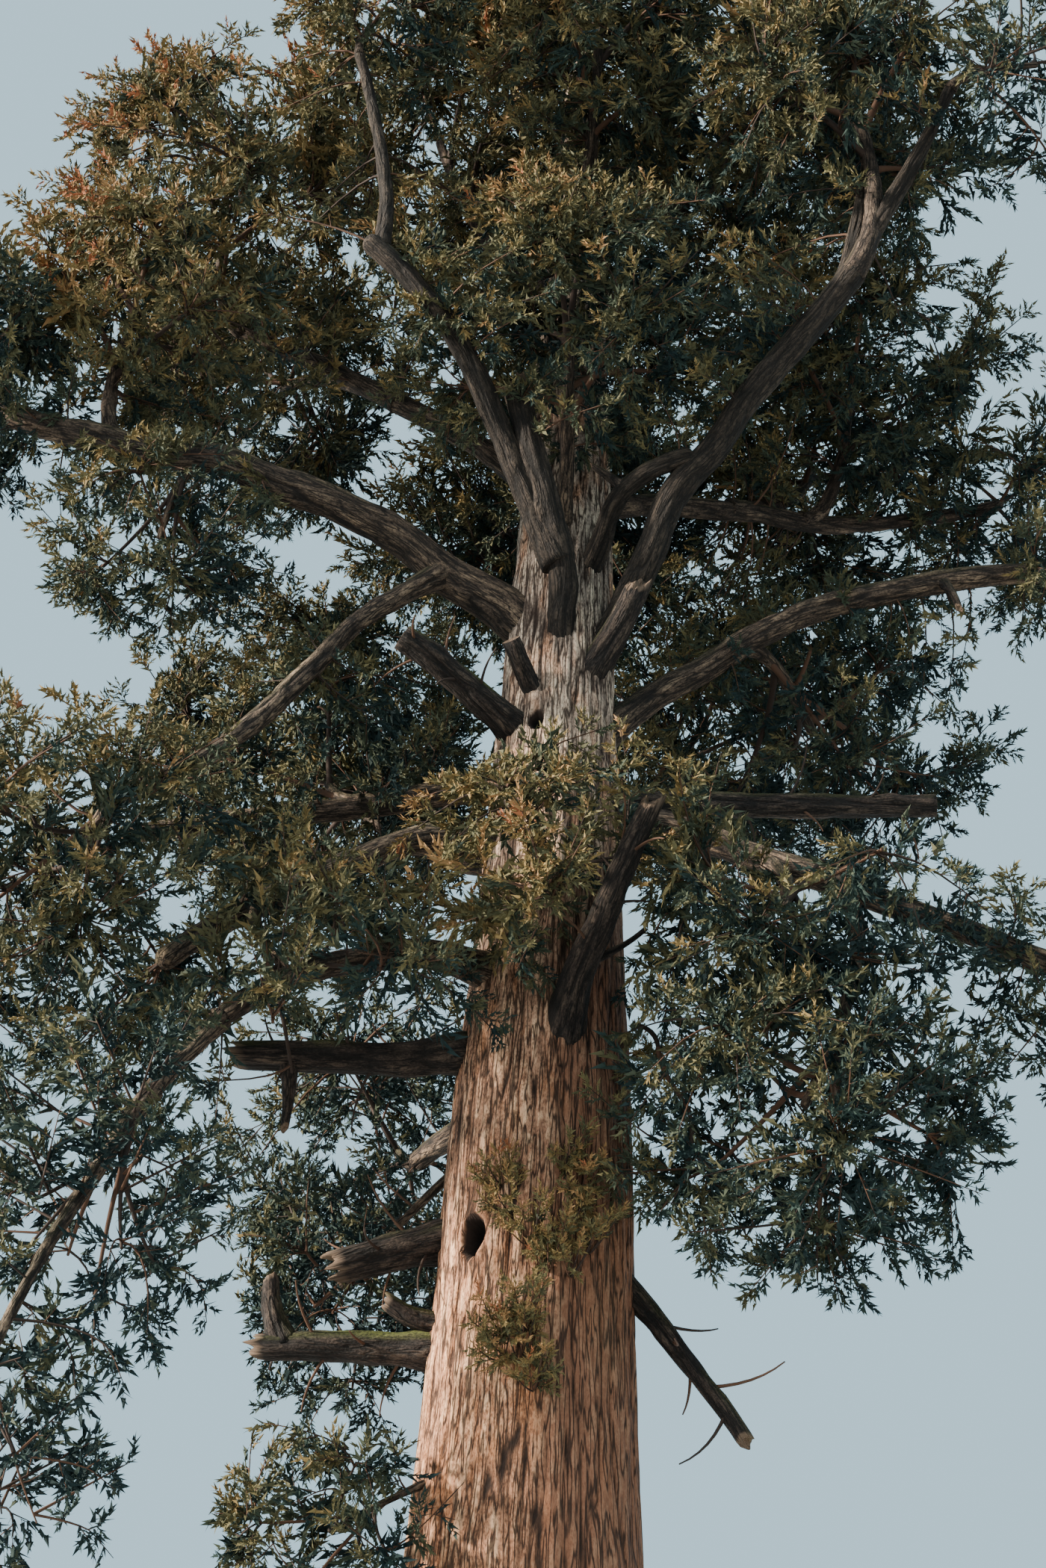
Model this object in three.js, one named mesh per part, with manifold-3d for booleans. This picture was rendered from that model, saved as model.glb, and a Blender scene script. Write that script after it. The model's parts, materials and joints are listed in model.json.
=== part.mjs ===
// Giant sequoia: one whole trunk, its living boughs, its dead limbs and the masses of its crown.
// Lengths are millimetres and angles degrees. +Z is up, the flat cut at ground level is z = 0.
// Bearings turn from +X towards +Y: 0 is right, 90 is back, 180 is left and 270 is front.
import * as THREE from 'three';
import { mergeVertices } from 'three/addons/utils/BufferGeometryUtils.js';
import Module from 'manifold-3d';

const wasm = await Module();
wasm.setup();

// Trunk sizes
const TRUNK_TIP = 37000;
const LEAN = 1.3;
const TAPER_RADIUS = 1540;
const TAPER_HEIGHT = 37600;
const FLARE_RADIUS = 430;
const FLARE_REACH = 950;
const BUTTRESSES = [
  { count: 5, depth: 0.1, turn: 35 },
  { count: 9, depth: 0.05, turn: 110 },
];
const BUTTRESS_REACH = 1500;
const TRUNK_SIDES = 20;
const TRUNK_RINGS = 14;
const TRUNK_RING_SPREAD = 1.45;

// Limb sizes
const SEAT_GAP = 0.4;
const SHORTEST_EDGE = 0.1;
const PATH_STEPS = 24;
const LIMB_SIDES = 6;
const LIMB_RINGS = 6;
const LIMB_RING_SPREAD = 1.35;
const COLLAR = 0.45;
const COLLAR_REACH = 1.6;
const CHILD_GIRTH = 0.92;

// Foliage sizes
const SPACE_MARGIN = 1.04;
const LIMB_CLEARANCE = 60;
const STEM_STEPS = 8;
const STEM_SIDES = 4;
const STEM_RINGS = 2;
const STEM_GIRTH = 0.055;
const STEM_TIP = 0.45;
const STEM_BEND = 0.28;
const TWIG_ROOTS = 0.45;
const TWIG_REACH = 0.6;
const TWIG_GIRTH = 0.8;
const TWIG_OVERRUN = 1.25;
const TWIG_SIDES = 3;
const TWIG_TURN = 17;
const TWIG_RISE_WOBBLE = 0.35;
const TWIG_BEARING_WOBBLE = 40;
const MASS_TURN = 61;
const SIDE_SPRAYS = 1;
const SIDE_SPRAY_ROOTS = [0.72, 0.9];
const SIDE_SPRAY_TURN = 46;
const SIDE_SPRAY_WOBBLE = 90;
const SPRAY_LENGTH = 1700;
const SPRAY_SHORTEST = 380;
const TIP_SPRAY_SUNK = 0.05;
const SIDE_SPRAY_SUNK = 0.01;
const SPRAY_WIDTH = 0.8;
const SPRAY_THICKNESS = 0.14;
const CORE_SIZE = 0.95;
const CORE_WOBBLE = 0.3;
const MARCH_STEPS = 24;
const GOLDEN_ANGLE = 137.508;

// Outline of one toothed spray: distance along it and half width, both as parts of the whole
const SPRAY_TEETH = [
  { along: 0.42, wide: 0.5 },
  { along: 0.55, wide: 0.26 },
];

// Places of a spray that are kept inside its space and off the wood, as parts of its length and
// of its half width
const SPRAY_CHECKS = [
  { along: 0.3, wide: 0 },
  { along: 0.65, wide: 0 },
  { along: 1, wide: 0 },
  { along: 0.42, wide: 0.5 },
  { along: 0.42, wide: -0.5 },
];

// The seeded rule: a sine wave folded into 0 to 1, and the channels that keep its uses apart
const CHANCE = { seed: 12.9898, index: 78.233, channel: 37.719, wave: 43758.5453 };
const CHANNEL = { twigRise: 1, twigBearing: 2, sideSpray: 3, core: 9 };

const BARK = { color: '#8a6553', roughness: 0.95, metalness: 0 };
const GREY_BARK = { color: '#6b5a50', roughness: 0.95, metalness: 0 };
const DEAD_WOOD = { color: '#4a3c34', roughness: 0.92, metalness: 0 };
const FOLIAGE = [
  { color: '#3c4226', roughness: 0.85, metalness: 0 },
  { color: '#4d4a28', roughness: 0.85, metalness: 0 },
  { color: '#5f4c27', roughness: 0.85, metalness: 0 },
  { color: '#344024', roughness: 0.85, metalness: 0 },
];

// Each limb leaves the trunk at a height, or another limb at a part of its length, and bends
// through its bearings and rises, evenly spaced from root to end. A fork is one piece with the
// limb that it is a fork of
const LIMBS = [
  { name: 'left_main_bough', on: 'trunk', at: 19800, bearing: [196, 195, 174], rise: [36, 26, 3, 28],
    length: 8550, radius: [290, 170] },
  { name: 'left_fork_bough', on: 'left_main_bough', at: 0.22, bearing: [202, 212],
    rise: [-42, -62, -41], length: 6400, radius: [150, 110] },
  { name: 'left_high_bough', on: 'trunk', at: 22400, bearing: [172, 186], rise: [48, 22],
    length: 6000, radius: [190, 110] },
  { name: 'front_upright_bough', on: 'trunk', at: 18900, bearing: [282, 214], rise: [49, 72],
    length: 4350, radius: [190, 180] },
  { name: 'upper_left_bough', on: 'front_upright_bough', at: 0.43, bearing: [213, 234, 192],
    rise: [61, 50, 37], length: 5150, radius: [180, 140] },
  { name: 'upper_left_leader', on: 'upper_left_bough', at: 0.97, bearing: [193, 220],
    rise: [94, 68], length: 3800, radius: [110, 70] },
  { name: 'right_main_bough', on: 'trunk', at: 18450, bearing: [337, 306, 335, 317],
    rise: [58, 54, 45, 39], length: 7500, radius: [230, 180] },
  { name: 'right_main_foot', forkOf: 'right_main_bough', on: 'trunk', at: 20400,
    bearing: [316, 289, 362], rise: [45, 32, 15], length: 2900, radius: [150, 125] },
  { name: 'right_upright_fork', forkOf: 'right_main_bough', on: 'right_main_bough', at: 0.97,
    bearing: [330, 330], rise: [69, 84], length: 2200, radius: [130, 95] },
  { name: 'right_leader', on: 'right_main_bough', at: 0.96, bearing: [328, 314], rise: [53, 55],
    length: 3350, radius: [140, 85] },
  { name: 'right_mid_bough', on: 'trunk', at: 17650, bearing: [-1, -7], rise: [53, 29, -4],
    length: 7700, radius: [210, 140] },
  { name: 'right_high_bough', on: 'trunk', at: 22300, bearing: [24, 27, -12], rise: [32, 12, 10],
    length: 7400, radius: [170, 105] },
  { name: 'right_low_bough', on: 'trunk', at: 17500, bearing: [-12, -3], rise: [-25, -26],
    length: 6500, radius: [200, 135] },
  { name: 'left_back_bough', on: 'trunk', at: 17700, bearing: [169, 187], rise: [-2, -16],
    length: 5550, radius: [190, 120] },
  { name: 'left_low_bough', on: 'trunk', at: 16450, bearing: [204, 188, 216],
    rise: [9, -33, -51], length: 5500, radius: [200, 135] },
  { name: 'left_arching_bough', on: 'trunk', at: 14550, bearing: [217, 209], rise: [7, -51],
    length: 4750, radius: [190, 125] },
  { name: 'left_weeping_bough', on: 'left_arching_bough', at: 1, bearing: [232, 228],
    rise: [-54, -71], length: 4750, radius: [115, 50] },
  { name: 'back_high_bough', on: 'trunk', at: 22800, bearing: [90, 82], rise: [48, 36],
    length: 4700, radius: [200, 130] },
  { name: 'back_mid_bough', on: 'trunk', at: 17200, bearing: [76, 80], rise: [34, 26],
    length: 4700, radius: [220, 140] },
  { name: 'back_low_bough', on: 'trunk', at: 13400, bearing: [118, 112], rise: [12, 4],
    length: 3700, radius: [200, 130] },
  { name: 'dead_right_limb', on: 'trunk', at: 17300, bearing: [11, -4], rise: [9, -1],
    length: 5000, radius: [190, 155], dead: true },
  { name: 'dead_centre_limb', on: 'trunk', at: 18000, bearing: [228, 202], rise: [14, 26],
    length: 2600, radius: [200, 170], dead: true },
  { name: 'front_snag', on: 'trunk', at: 12850, bearing: [283, 306], rise: [20, 79],
    length: 3400, radius: [240, 90], dead: true },
  { name: 'dead_left_limb', on: 'trunk', at: 13800, bearing: [185, 189], rise: [-9, -4],
    length: 3400, radius: [230, 180], dead: true },
  { name: 'broken_stub', on: 'trunk', at: 11600, bearing: [182, 188], rise: [-12, -20],
    length: 2100, radius: [250, 180], dead: true },
  { name: 'mossy_stub', on: 'trunk', at: 10150, bearing: [180, 180], rise: [-2, 0],
    length: 2800, radius: [190, 150], dead: true },
  { name: 'drooping_dead_limb', on: 'trunk', at: 11900, bearing: [-5, -16], rise: [-44, -59],
    length: 3550, radius: [160, 85], dead: true },
];

// Each mass keeps to an ellipsoid round its heart. A dense one has a core, and lift turns its
// twigs up or lets them hang
const MASSES = [
  { name: 'foliage_top', on: 'trunk', at: 33400, heart: [550, -350, 34600],
    reach: [3100, 3100, 3400], twigs: 7, lift: 0.35, core: true },
  { name: 'foliage_upper_left', on: 'trunk', at: 26800, heart: [-1600, 300, 30600],
    reach: [3200, 3000, 2800], twigs: 5, lift: 0.15, core: true },
  { name: 'foliage_upper_front', on: 'trunk', at: 26600, heart: [900, -2500, 29800],
    reach: [3000, 2500, 3000], twigs: 5, lift: 0.15, core: true },
  { name: 'foliage_upper_right', on: 'trunk', at: 28000, heart: [3600, 300, 30800],
    reach: [3200, 3000, 3000], twigs: 6, lift: 0.15, core: true },
  { name: 'foliage_upper_back', on: 'trunk', at: 28600, heart: [900, 3100, 31200],
    reach: [3400, 3000, 3300], twigs: 4, lift: 0.15, core: true },
  { name: 'foliage_leader_left', on: 'upper_left_leader', at: 1, heart: [-2200, -3200, 29200],
    reach: [1900, 2000, 1900], twigs: 5, lift: 0.25, core: true },
  { name: 'foliage_left_dome', on: 'left_high_bough', at: 1, heart: [-4700, -800, 27700],
    reach: [3300, 3000, 2800], twigs: 6, lift: 0.2, core: true },
  { name: 'foliage_left_shoulder', on: 'left_main_bough', at: 0.76, heart: [-5600, -1400, 24700],
    reach: [3300, 2500, 2100], twigs: 6, lift: 0.1, core: true },
  { name: 'foliage_left_tip', on: 'left_main_bough', at: 1, heart: [-7900, -1400, 23800],
    reach: [2600, 2400, 2500], twigs: 5, lift: 0, core: true },
  { name: 'foliage_left_under', on: 'left_main_bough', at: 0.64, heart: [-4900, -1000, 20800],
    reach: [2100, 1700, 1500], twigs: 4, lift: -0.25, core: true },
  { name: 'foliage_heart_front', on: 'trunk', at: 21300, heart: [500, -1900, 24300],
    reach: [3700, 1900, 2700], twigs: 6, lift: 0.1, core: true },
  { name: 'foliage_right_upper', on: 'right_main_bough', at: 1, heart: [4500, -3000, 27500],
    reach: [2900, 2700, 2700], twigs: 6, lift: 0.2, core: true },
  { name: 'foliage_right_far_top', on: 'right_leader', at: 1, heart: [6800, -4200, 26900],
    reach: [2300, 2100, 2100], twigs: 7, lift: 0.1, core: false },
  { name: 'foliage_right_shoulder', on: 'right_high_bough', at: 0.58, heart: [4900, 700, 26000],
    reach: [3000, 2700, 2500], twigs: 6, lift: 0.1, core: true },
  { name: 'foliage_right_far', on: 'right_high_bough', at: 1, heart: [7300, 2300, 24800],
    reach: [2300, 2400, 2000], twigs: 5, lift: 0, core: true },
  { name: 'foliage_right_mid_tip', on: 'right_mid_bough', at: 1, heart: [7900, -600, 20900],
    reach: [1800, 1900, 1700], twigs: 5, lift: -0.1, core: true },
  { name: 'foliage_right_middle', on: 'right_mid_bough', at: 0.42, heart: [4000, 1500, 19700],
    reach: [3200, 2400, 2200], twigs: 6, lift: 0, core: true },
  { name: 'foliage_right_low', on: 'right_low_bough', at: 0.42, heart: [3000, -1900, 14700],
    reach: [3100, 2000, 1900], twigs: 6, lift: -0.1, core: true },
  { name: 'foliage_right_droop', on: 'right_low_bough', at: 0.56, heart: [3150, -1500, 12400],
    reach: [2600, 2000, 2300], twigs: 6, lift: -0.3, core: true },
  { name: 'foliage_right_low_tip', on: 'right_low_bough', at: 1, heart: [7000, -700, 14400],
    reach: [1900, 1700, 1600], twigs: 5, lift: -0.1, core: true },
  { name: 'foliage_front', on: 'trunk', at: 15600, heart: [450, -2050, 15100],
    reach: [2050, 1300, 2100], twigs: 4, lift: 0, core: true },
  { name: 'foliage_left_middle', on: 'left_back_bough', at: 0.45, heart: [-2600, 900, 18200],
    reach: [2400, 2300, 2300], twigs: 5, lift: 0, core: true },
  { name: 'foliage_left_outer', on: 'left_fork_bough', at: 1, heart: [-5200, -1700, 14900],
    reach: [3200, 2800, 2500], twigs: 6, lift: 0, core: true },
  { name: 'foliage_left_lower', on: 'left_low_bough', at: 0.7, heart: [-2400, -1800, 13600],
    reach: [2500, 2000, 1700], twigs: 5, lift: -0.2, core: true },
  { name: 'foliage_weeping', on: 'left_weeping_bough', at: 0.3, heart: [-4100, -3100, 10700],
    reach: [1600, 1500, 2700], twigs: 7, lift: -1.2, core: false },
  { name: 'foliage_weeping_tip', on: 'left_weeping_bough', at: 1, heart: [-4700, -3400, 8100],
    reach: [1400, 1400, 2100], twigs: 6, lift: -1, core: false },
  { name: 'foliage_left_hanging', on: 'trunk', at: 12900, heart: [-2000, 1300, 11300],
    reach: [1300, 1400, 2100], twigs: 5, lift: -0.5, core: true },
  { name: 'foliage_base', on: 'trunk', at: 8900, heart: [-1750, -900, 7900],
    reach: [1300, 1200, 1250], twigs: 5, lift: 0, core: true },
  { name: 'foliage_back_high', on: 'back_high_bough', at: 1, heart: [500, 4700, 26600],
    reach: [4700, 3200, 3400], twigs: 5, lift: 0.1, core: true },
  { name: 'foliage_back_mid', on: 'back_mid_bough', at: 1, heart: [2900, 4900, 22300],
    reach: [3700, 3000, 3500], twigs: 5, lift: 0, core: true },
  { name: 'foliage_back_low', on: 'back_low_bough', at: 1, heart: [-1700, 4900, 14900],
    reach: [3100, 3000, 2700], twigs: 5, lift: -0.1, core: true },
  { name: 'foliage_back_left', on: 'left_high_bough', at: 0.55, heart: [-4200, 3400, 28000],
    reach: [3300, 3100, 3000], twigs: 5, lift: 0.1, core: true },
  { name: 'foliage_back_right', on: 'right_high_bough', at: 0.4, heart: [4700, 3700, 26700],
    reach: [3300, 3000, 3100], twigs: 5, lift: 0.1, core: true },
  { name: 'foliage_back_left_low', on: 'trunk', at: 16600, heart: [-3300, 4000, 20800],
    reach: [3400, 2900, 3000], twigs: 5, lift: 0, core: true },
];

const radians = THREE.MathUtils.degToRad;
const blend = THREE.MathUtils.lerp;

// The value at a part of the way through evenly spaced values
function alongValues(values, part) {
  const place = part * (values.length - 1);
  const index = Math.min(Math.floor(place), values.length - 2);
  return blend(values[index], values[index + 1], place - index);
}

// A number from 0 to 1 that is always the same for the same seed, index and channel
function chance(seed, index, channel) {
  const angle = seed * CHANCE.seed + index * CHANCE.index + channel * CHANCE.channel;
  const wave = Math.sin(angle) * CHANCE.wave;
  return wave - Math.floor(wave);
}

function headingOf(bearing, rise) {
  const level = Math.cos(radians(rise));
  return new THREE.Vector3(
    Math.cos(radians(bearing)) * level,
    Math.sin(radians(bearing)) * level,
    Math.sin(radians(rise)),
  );
}

// Two directions square to an axis, the first of them level
function squareTo(axis) {
  const side = new THREE.Vector3(0, 0, 1).cross(axis).normalize();
  return { side, over: axis.clone().cross(side).normalize() };
}

// Booleans between closed meshes
function solidOf(geometry) {
  const mesh = new wasm.Mesh({
    numProp: 3,
    vertProperties: new Float32Array(geometry.attributes.position.array),
    triVerts: new Uint32Array(geometry.index.array),
    tolerance: SHORTEST_EDGE,
  });
  return new wasm.Manifold(mesh);
}

function geometryOf(solid) {
  const mesh = solid.getMesh();
  const geometry = new THREE.BufferGeometry();
  geometry.setAttribute('position', new THREE.BufferAttribute(mesh.vertProperties, 3));
  geometry.setIndex(new THREE.BufferAttribute(mesh.triVerts, 1));
  return geometry;
}

function largestPiece(solid) {
  return solid.decompose().reduce((best, piece) => (piece.volume() > best.volume() ? piece : best));
}

function boxesMeet(a, b) {
  const first = a.boundingBox();
  const second = b.boundingBox();
  return [0, 1, 2].every((axis) => first.min[axis] < second.max[axis]
    && second.min[axis] < first.max[axis]);
}

// A solid less everything in a list that it could touch
function clearOf(solid, others) {
  const near = others.filter((other) => boxesMeet(solid, other));
  return largestPiece(near.reduce((rest, other) => rest.subtract(other), solid));
}

// A three.js shape with its doubled seam and rim vertices joined
function weld(geometry) {
  geometry.deleteAttribute('normal');
  geometry.deleteAttribute('uv');
  return mergeVertices(geometry);
}

function moveVertices(geometry, place) {
  const position = geometry.attributes.position;
  const point = new THREE.Vector3();
  for (let i = 0; i < position.count; i += 1) {
    point.fromBufferAttribute(position, i);
    point.copy(place(point, i));
    position.setXYZ(i, point.x, point.y, point.z);
  }
  return geometry;
}

// A capped cylinder whose rings are carried along a path: frameAt gives a ring's centre, its two
// square directions and its radius for a part of the way and an angle
function sweep(sides, rings, frameAt) {
  const unit = weld(new THREE.CylinderGeometry(1, 1, 1, sides, rings));
  return moveVertices(unit, (point) => {
    const away = Math.min(1, Math.hypot(point.x, point.z));
    const angle = Math.atan2(point.z, point.x);
    const frame = frameAt(point.y + 0.5, angle);
    return frame.centre.clone()
      .addScaledVector(frame.side, Math.cos(angle) * frame.radius * away)
      .addScaledVector(frame.over, -Math.sin(angle) * frame.radius * away);
  });
}

// Trunk
function trunkAxis(height) {
  return new THREE.Vector3(Math.tan(radians(LEAN)) * height, 0, height);
}

function trunkRadius(height) {
  return TAPER_RADIUS * (1 - height / TAPER_HEIGHT) + FLARE_RADIUS * Math.exp(-height / FLARE_REACH);
}

function buttress(height, angle) {
  const swell = Math.exp(-height / BUTTRESS_REACH);
  return BUTTRESSES.reduce((sum, lobe) => (
    sum + swell * lobe.depth * Math.cos(lobe.count * angle + radians(lobe.turn))), 1);
}

function trunkGeometry(grow) {
  const side = new THREE.Vector3(1, 0, 0);
  const over = new THREE.Vector3(0, 1, 0);
  return sweep(TRUNK_SIDES, TRUNK_RINGS, (part, angle) => {
    const height = TRUNK_TIP * part ** TRUNK_RING_SPREAD;
    const radius = trunkRadius(height) * buttress(height, angle) + grow;
    const centre = trunkAxis(height);
    if (part === 1) centre.z += grow;
    return { centre, side, over, radius };
  });
}

// Limbs
function alongPath(path, part) {
  const place = Math.min(Math.max(part, 0), 1) * (path.length - 1);
  const index = Math.min(Math.floor(place), path.length - 2);
  return path[index].clone().lerp(path[index + 1], place - index);
}

function alongHeading(path, part) {
  const place = Math.min(Math.max(part, 0), 1) * (path.length - 1);
  const index = Math.min(Math.floor(place), path.length - 2);
  return path[index + 1].clone().sub(path[index]).normalize();
}

function limbPath(limb, start) {
  const path = [start];
  for (let k = 0; k < PATH_STEPS; k += 1) {
    const part = (k + 0.5) / PATH_STEPS;
    const step = headingOf(alongValues(limb.bearing, part), alongValues(limb.rise, part))
      .multiplyScalar(limb.length / PATH_STEPS);
    path.push(path[k].clone().add(step));
  }
  return path;
}

// Radius at a part of a limb, with the collar that swells where it leaves the trunk
function limbRadius(limb, part) {
  const plain = blend(limb.radius[0], limb.radius[1], part);
  const bare = Math.max(0, part * limb.length - limb.buried);
  return plain + limb.radius[0] * COLLAR * Math.exp(-bare / (limb.radius[0] * COLLAR_REACH));
}

function limbGeometry(limb, grow) {
  return sweep(LIMB_SIDES, LIMB_RINGS, (ring) => {
    const part = ring ** LIMB_RING_SPREAD;
    const heading = alongHeading(limb.path, part);
    const { side, over } = squareTo(heading);
    const centre = alongPath(limb.path, part);
    if (ring === 0) centre.addScaledVector(heading, -grow);
    if (ring === 1) centre.addScaledVector(heading, grow);
    return { centre, side, over, radius: limbRadius(limb, part) + grow };
  });
}

function placeLimbs() {
  const placed = new Map();
  for (const row of LIMBS) {
    const limb = { ...row };
    const parent = placed.get(row.on);
    const start = parent ? alongPath(parent.path, row.at) : trunkAxis(row.at);
    limb.buried = parent ? limbRadius(parent, row.at) : trunkRadius(row.at);
    limb.path = limbPath(row, start);
    placed.set(row.name, limb);
  }
  return placed;
}

const limbs = placeLimbs();

// A limb and its forks, joined where they meet
function limbSolid(limb, grow) {
  const forks = [...limbs.values()].filter((other) => other.forkOf === limb.name);
  return [limb, ...forks].map((part) => solidOf(limbGeometry(part, grow)))
    .reduce((sum, part) => sum.add(part));
}

// The one stem of a mass curves from its foot, in the heading of its bough, up to its heart
function placeStem(row) {
  const heart = new THREE.Vector3(...row.heart);
  const parent = limbs.get(row.on);
  const foot = parent ? alongPath(parent.path, row.at) : trunkAxis(row.at);
  const way = heart.clone().sub(foot);
  const heading = parent ? alongHeading(parent.path, row.at) : way.clone().setZ(0).normalize();
  const bend = foot.clone().addScaledVector(heading, way.length() * STEM_BEND);
  const curve = new THREE.QuadraticBezierCurve3(foot, bend, heart);
  const size = (row.reach[0] + row.reach[1] + row.reach[2]) / 3;
  const parentRadius = parent ? limbRadius(parent, row.at) : trunkRadius(row.at);
  const full = row.at === 1 ? parentRadius * CHILD_GIRTH : Math.min(size * STEM_GIRTH, parentRadius);
  return {
    path: curve.getPoints(STEM_STEPS),
    radius: [full, full * STEM_TIP],
    stemLength: way.length(),
    heart,
    size,
  };
}

const masses = MASSES.map((row, seed) => ({ ...row, ...placeStem(row), seed: seed + 1 }));

// How far a point is from a path, less the radius there
function pathClearance(point, path, radiusAt) {
  let nearest = Infinity;
  const segment = new THREE.Line3();
  const closest = new THREE.Vector3();
  for (let k = 0; k + 1 < path.length; k += 1) {
    segment.set(path[k], path[k + 1]);
    const share = segment.closestPointToPointParameter(point, true);
    segment.at(share, closest);
    const part = (k + share) / (path.length - 1);
    nearest = Math.min(nearest, closest.distanceTo(point) - radiusAt(part));
  }
  return nearest;
}

function clearOfWood(point, own) {
  const height = Math.min(Math.max(point.z, 0), TRUNK_TIP);
  if (trunkAxis(height).distanceTo(point) < trunkRadius(height) + LIMB_CLEARANCE) return false;
  for (const limb of limbs.values()) {
    const gap = pathClearance(point, limb.path, (part) => limbRadius(limb, part));
    if (gap < LIMB_CLEARANCE) return false;
  }
  return masses.every((mass) => mass === own || pathClearance(point, mass.path, (part) => (
    blend(mass.radius[0], mass.radius[1], part))) > LIMB_CLEARANCE);
}

// Distance from a heart measured in the reach of its mass: 1 is the skin of its ellipsoid
function share(mass, point) {
  return Math.hypot(
    (point.x - mass.heart.x) / mass.reach[0],
    (point.y - mass.heart.y) / mass.reach[1],
    (point.z - mass.heart.z) / mass.reach[2],
  );
}

// A mass owns the points of its ellipsoid that lie deeper in it than in any other
function inSpace(mass, point) {
  const own = share(mass, point);
  return own < 1 && masses.every((other) => other === mass
    || own * SPACE_MARGIN < share(other, point));
}

// How far a point may go in a direction before it leaves the space of its mass
function roomAlong(mass, from, direction, longest) {
  const point = new THREE.Vector3();
  for (let k = 1; k <= MARCH_STEPS; k += 1) {
    const far = (longest * k) / MARCH_STEPS;
    point.copy(from).addScaledVector(direction, far);
    if (!inSpace(mass, point)) return (longest * (k - 1)) / MARCH_STEPS;
  }
  return longest;
}

// Twigs leave the stem towards points spread evenly round the heart
function twigsOf(mass) {
  const twigs = [];
  const longest = Math.max(...mass.reach);
  const rooted = Math.min(1, (mass.size * TWIG_ROOTS) / mass.stemLength);
  for (let k = 0; k < mass.twigs; k += 1) {
    const level = 1 - (2 * k + 1) / mass.twigs
      + (chance(mass.seed, k, CHANNEL.twigRise) - 0.5) * TWIG_RISE_WOBBLE;
    const rise = Math.asin(Math.min(Math.max(level, -1), 1));
    const bearing = k * GOLDEN_ANGLE + mass.seed * MASS_TURN
      + chance(mass.seed, k, CHANNEL.twigBearing) * TWIG_BEARING_WOBBLE;
    const outward = headingOf(bearing, THREE.MathUtils.radToDeg(rise));
    outward.z += mass.lift;
    outward.normalize();
    const room = roomAlong(mass, mass.heart, outward, longest);
    const root = alongPath(mass.path, 1 - (rooted * (k + 0.5)) / mass.twigs);
    const end = mass.heart.clone().addScaledVector(outward, room * TWIG_REACH);
    twigs.push({ root, end, heading: end.clone().sub(root).normalize(), index: k });
  }
  return twigs;
}

// One spray goes on from the end of a twig and others turn off its sides
function spraysOf(mass, twig) {
  const sprays = [{ root: twig.end, heading: twig.heading, sunk: TIP_SPRAY_SUNK }];
  const { side, over } = squareTo(twig.heading);
  for (let k = 0; k < SIDE_SPRAYS; k += 1) {
    const part = blend(SIDE_SPRAY_ROOTS[0], SIDE_SPRAY_ROOTS[1], (k + 1) / SIDE_SPRAYS);
    const wobble = chance(mass.seed, twig.index, CHANNEL.sideSpray + k) * SIDE_SPRAY_WOBBLE;
    const around = radians(k * 180 + wobble);
    const aside = Math.sin(radians(SIDE_SPRAY_TURN));
    const heading = twig.heading.clone().multiplyScalar(Math.cos(radians(SIDE_SPRAY_TURN)))
      .addScaledVector(side, Math.cos(around) * aside)
      .addScaledVector(over, Math.sin(around) * aside);
    sprays.push({ root: twig.root.clone().lerp(twig.end, part), heading, sunk: SIDE_SPRAY_SUNK });
  }
  for (const spray of sprays) {
    spray.length = roomAlong(mass, spray.root, spray.heading, SPRAY_LENGTH);
  }
  return sprays.filter((spray) => spray.length > SPRAY_SHORTEST && sprayIsFree(mass, spray));
}

function sprayIsFree(mass, spray) {
  const { side } = squareTo(spray.heading);
  return SPRAY_CHECKS.every((check) => {
    const point = spray.root.clone()
      .addScaledVector(spray.heading, spray.length * check.along)
      .addScaledVector(side, spray.length * SPRAY_WIDTH * check.wide);
    return inSpace(mass, point) && clearOfWood(point, mass);
  });
}

// A toothed blade with a raised rib: its equator is moved to the outline, its poles to the faces
function sprayGeometry(spray) {
  const outline = [
    { along: -spray.sunk, wide: 0 },
    ...SPRAY_TEETH,
    { along: 1, wide: 0 },
    ...SPRAY_TEETH.map((tooth) => ({ along: tooth.along, wide: -tooth.wide })).reverse(),
  ];
  const { side, over } = squareTo(spray.heading);
  const unit = weld(new THREE.SphereGeometry(1, outline.length, 2));
  return moveVertices(unit, (point) => {
    const pole = Math.abs(point.y) > 0.5;
    const turn = Math.round((Math.atan2(point.z, point.x) / Math.PI) * (outline.length / 2));
    const corner = outline[(turn + outline.length) % outline.length];
    const along = pole ? SPRAY_TEETH[0].along : corner.along;
    const wide = pole ? 0 : corner.wide;
    const high = pole ? Math.sign(point.y) * SPRAY_THICKNESS * 0.5 : 0;
    return spray.root.clone()
      .addScaledVector(spray.heading, spray.length * along)
      .addScaledVector(side, spray.length * SPRAY_WIDTH * wide)
      .addScaledVector(over, spray.length * high);
  });
}

function twigGeometry(twig, radius) {
  const { side, over } = squareTo(twig.heading);
  const unit = weld(new THREE.ConeGeometry(1, 1, TWIG_SIDES, 1).rotateY(radians(TWIG_TURN)));
  return moveVertices(unit, (point) => twig.root.clone()
    .lerp(twig.end, (point.y + 0.5) * TWIG_OVERRUN)
    .addScaledVector(side, point.x * radius)
    .addScaledVector(over, -point.z * radius));
}

function stemGeometry(mass, grow) {
  return sweep(STEM_SIDES, STEM_RINGS, (part) => {
    const heading = alongHeading(mass.path, part);
    const { side, over } = squareTo(heading);
    const radius = blend(mass.radius[0], mass.radius[1], part) + grow;
    return { centre: alongPath(mass.path, part), side, over, radius };
  });
}

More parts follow.
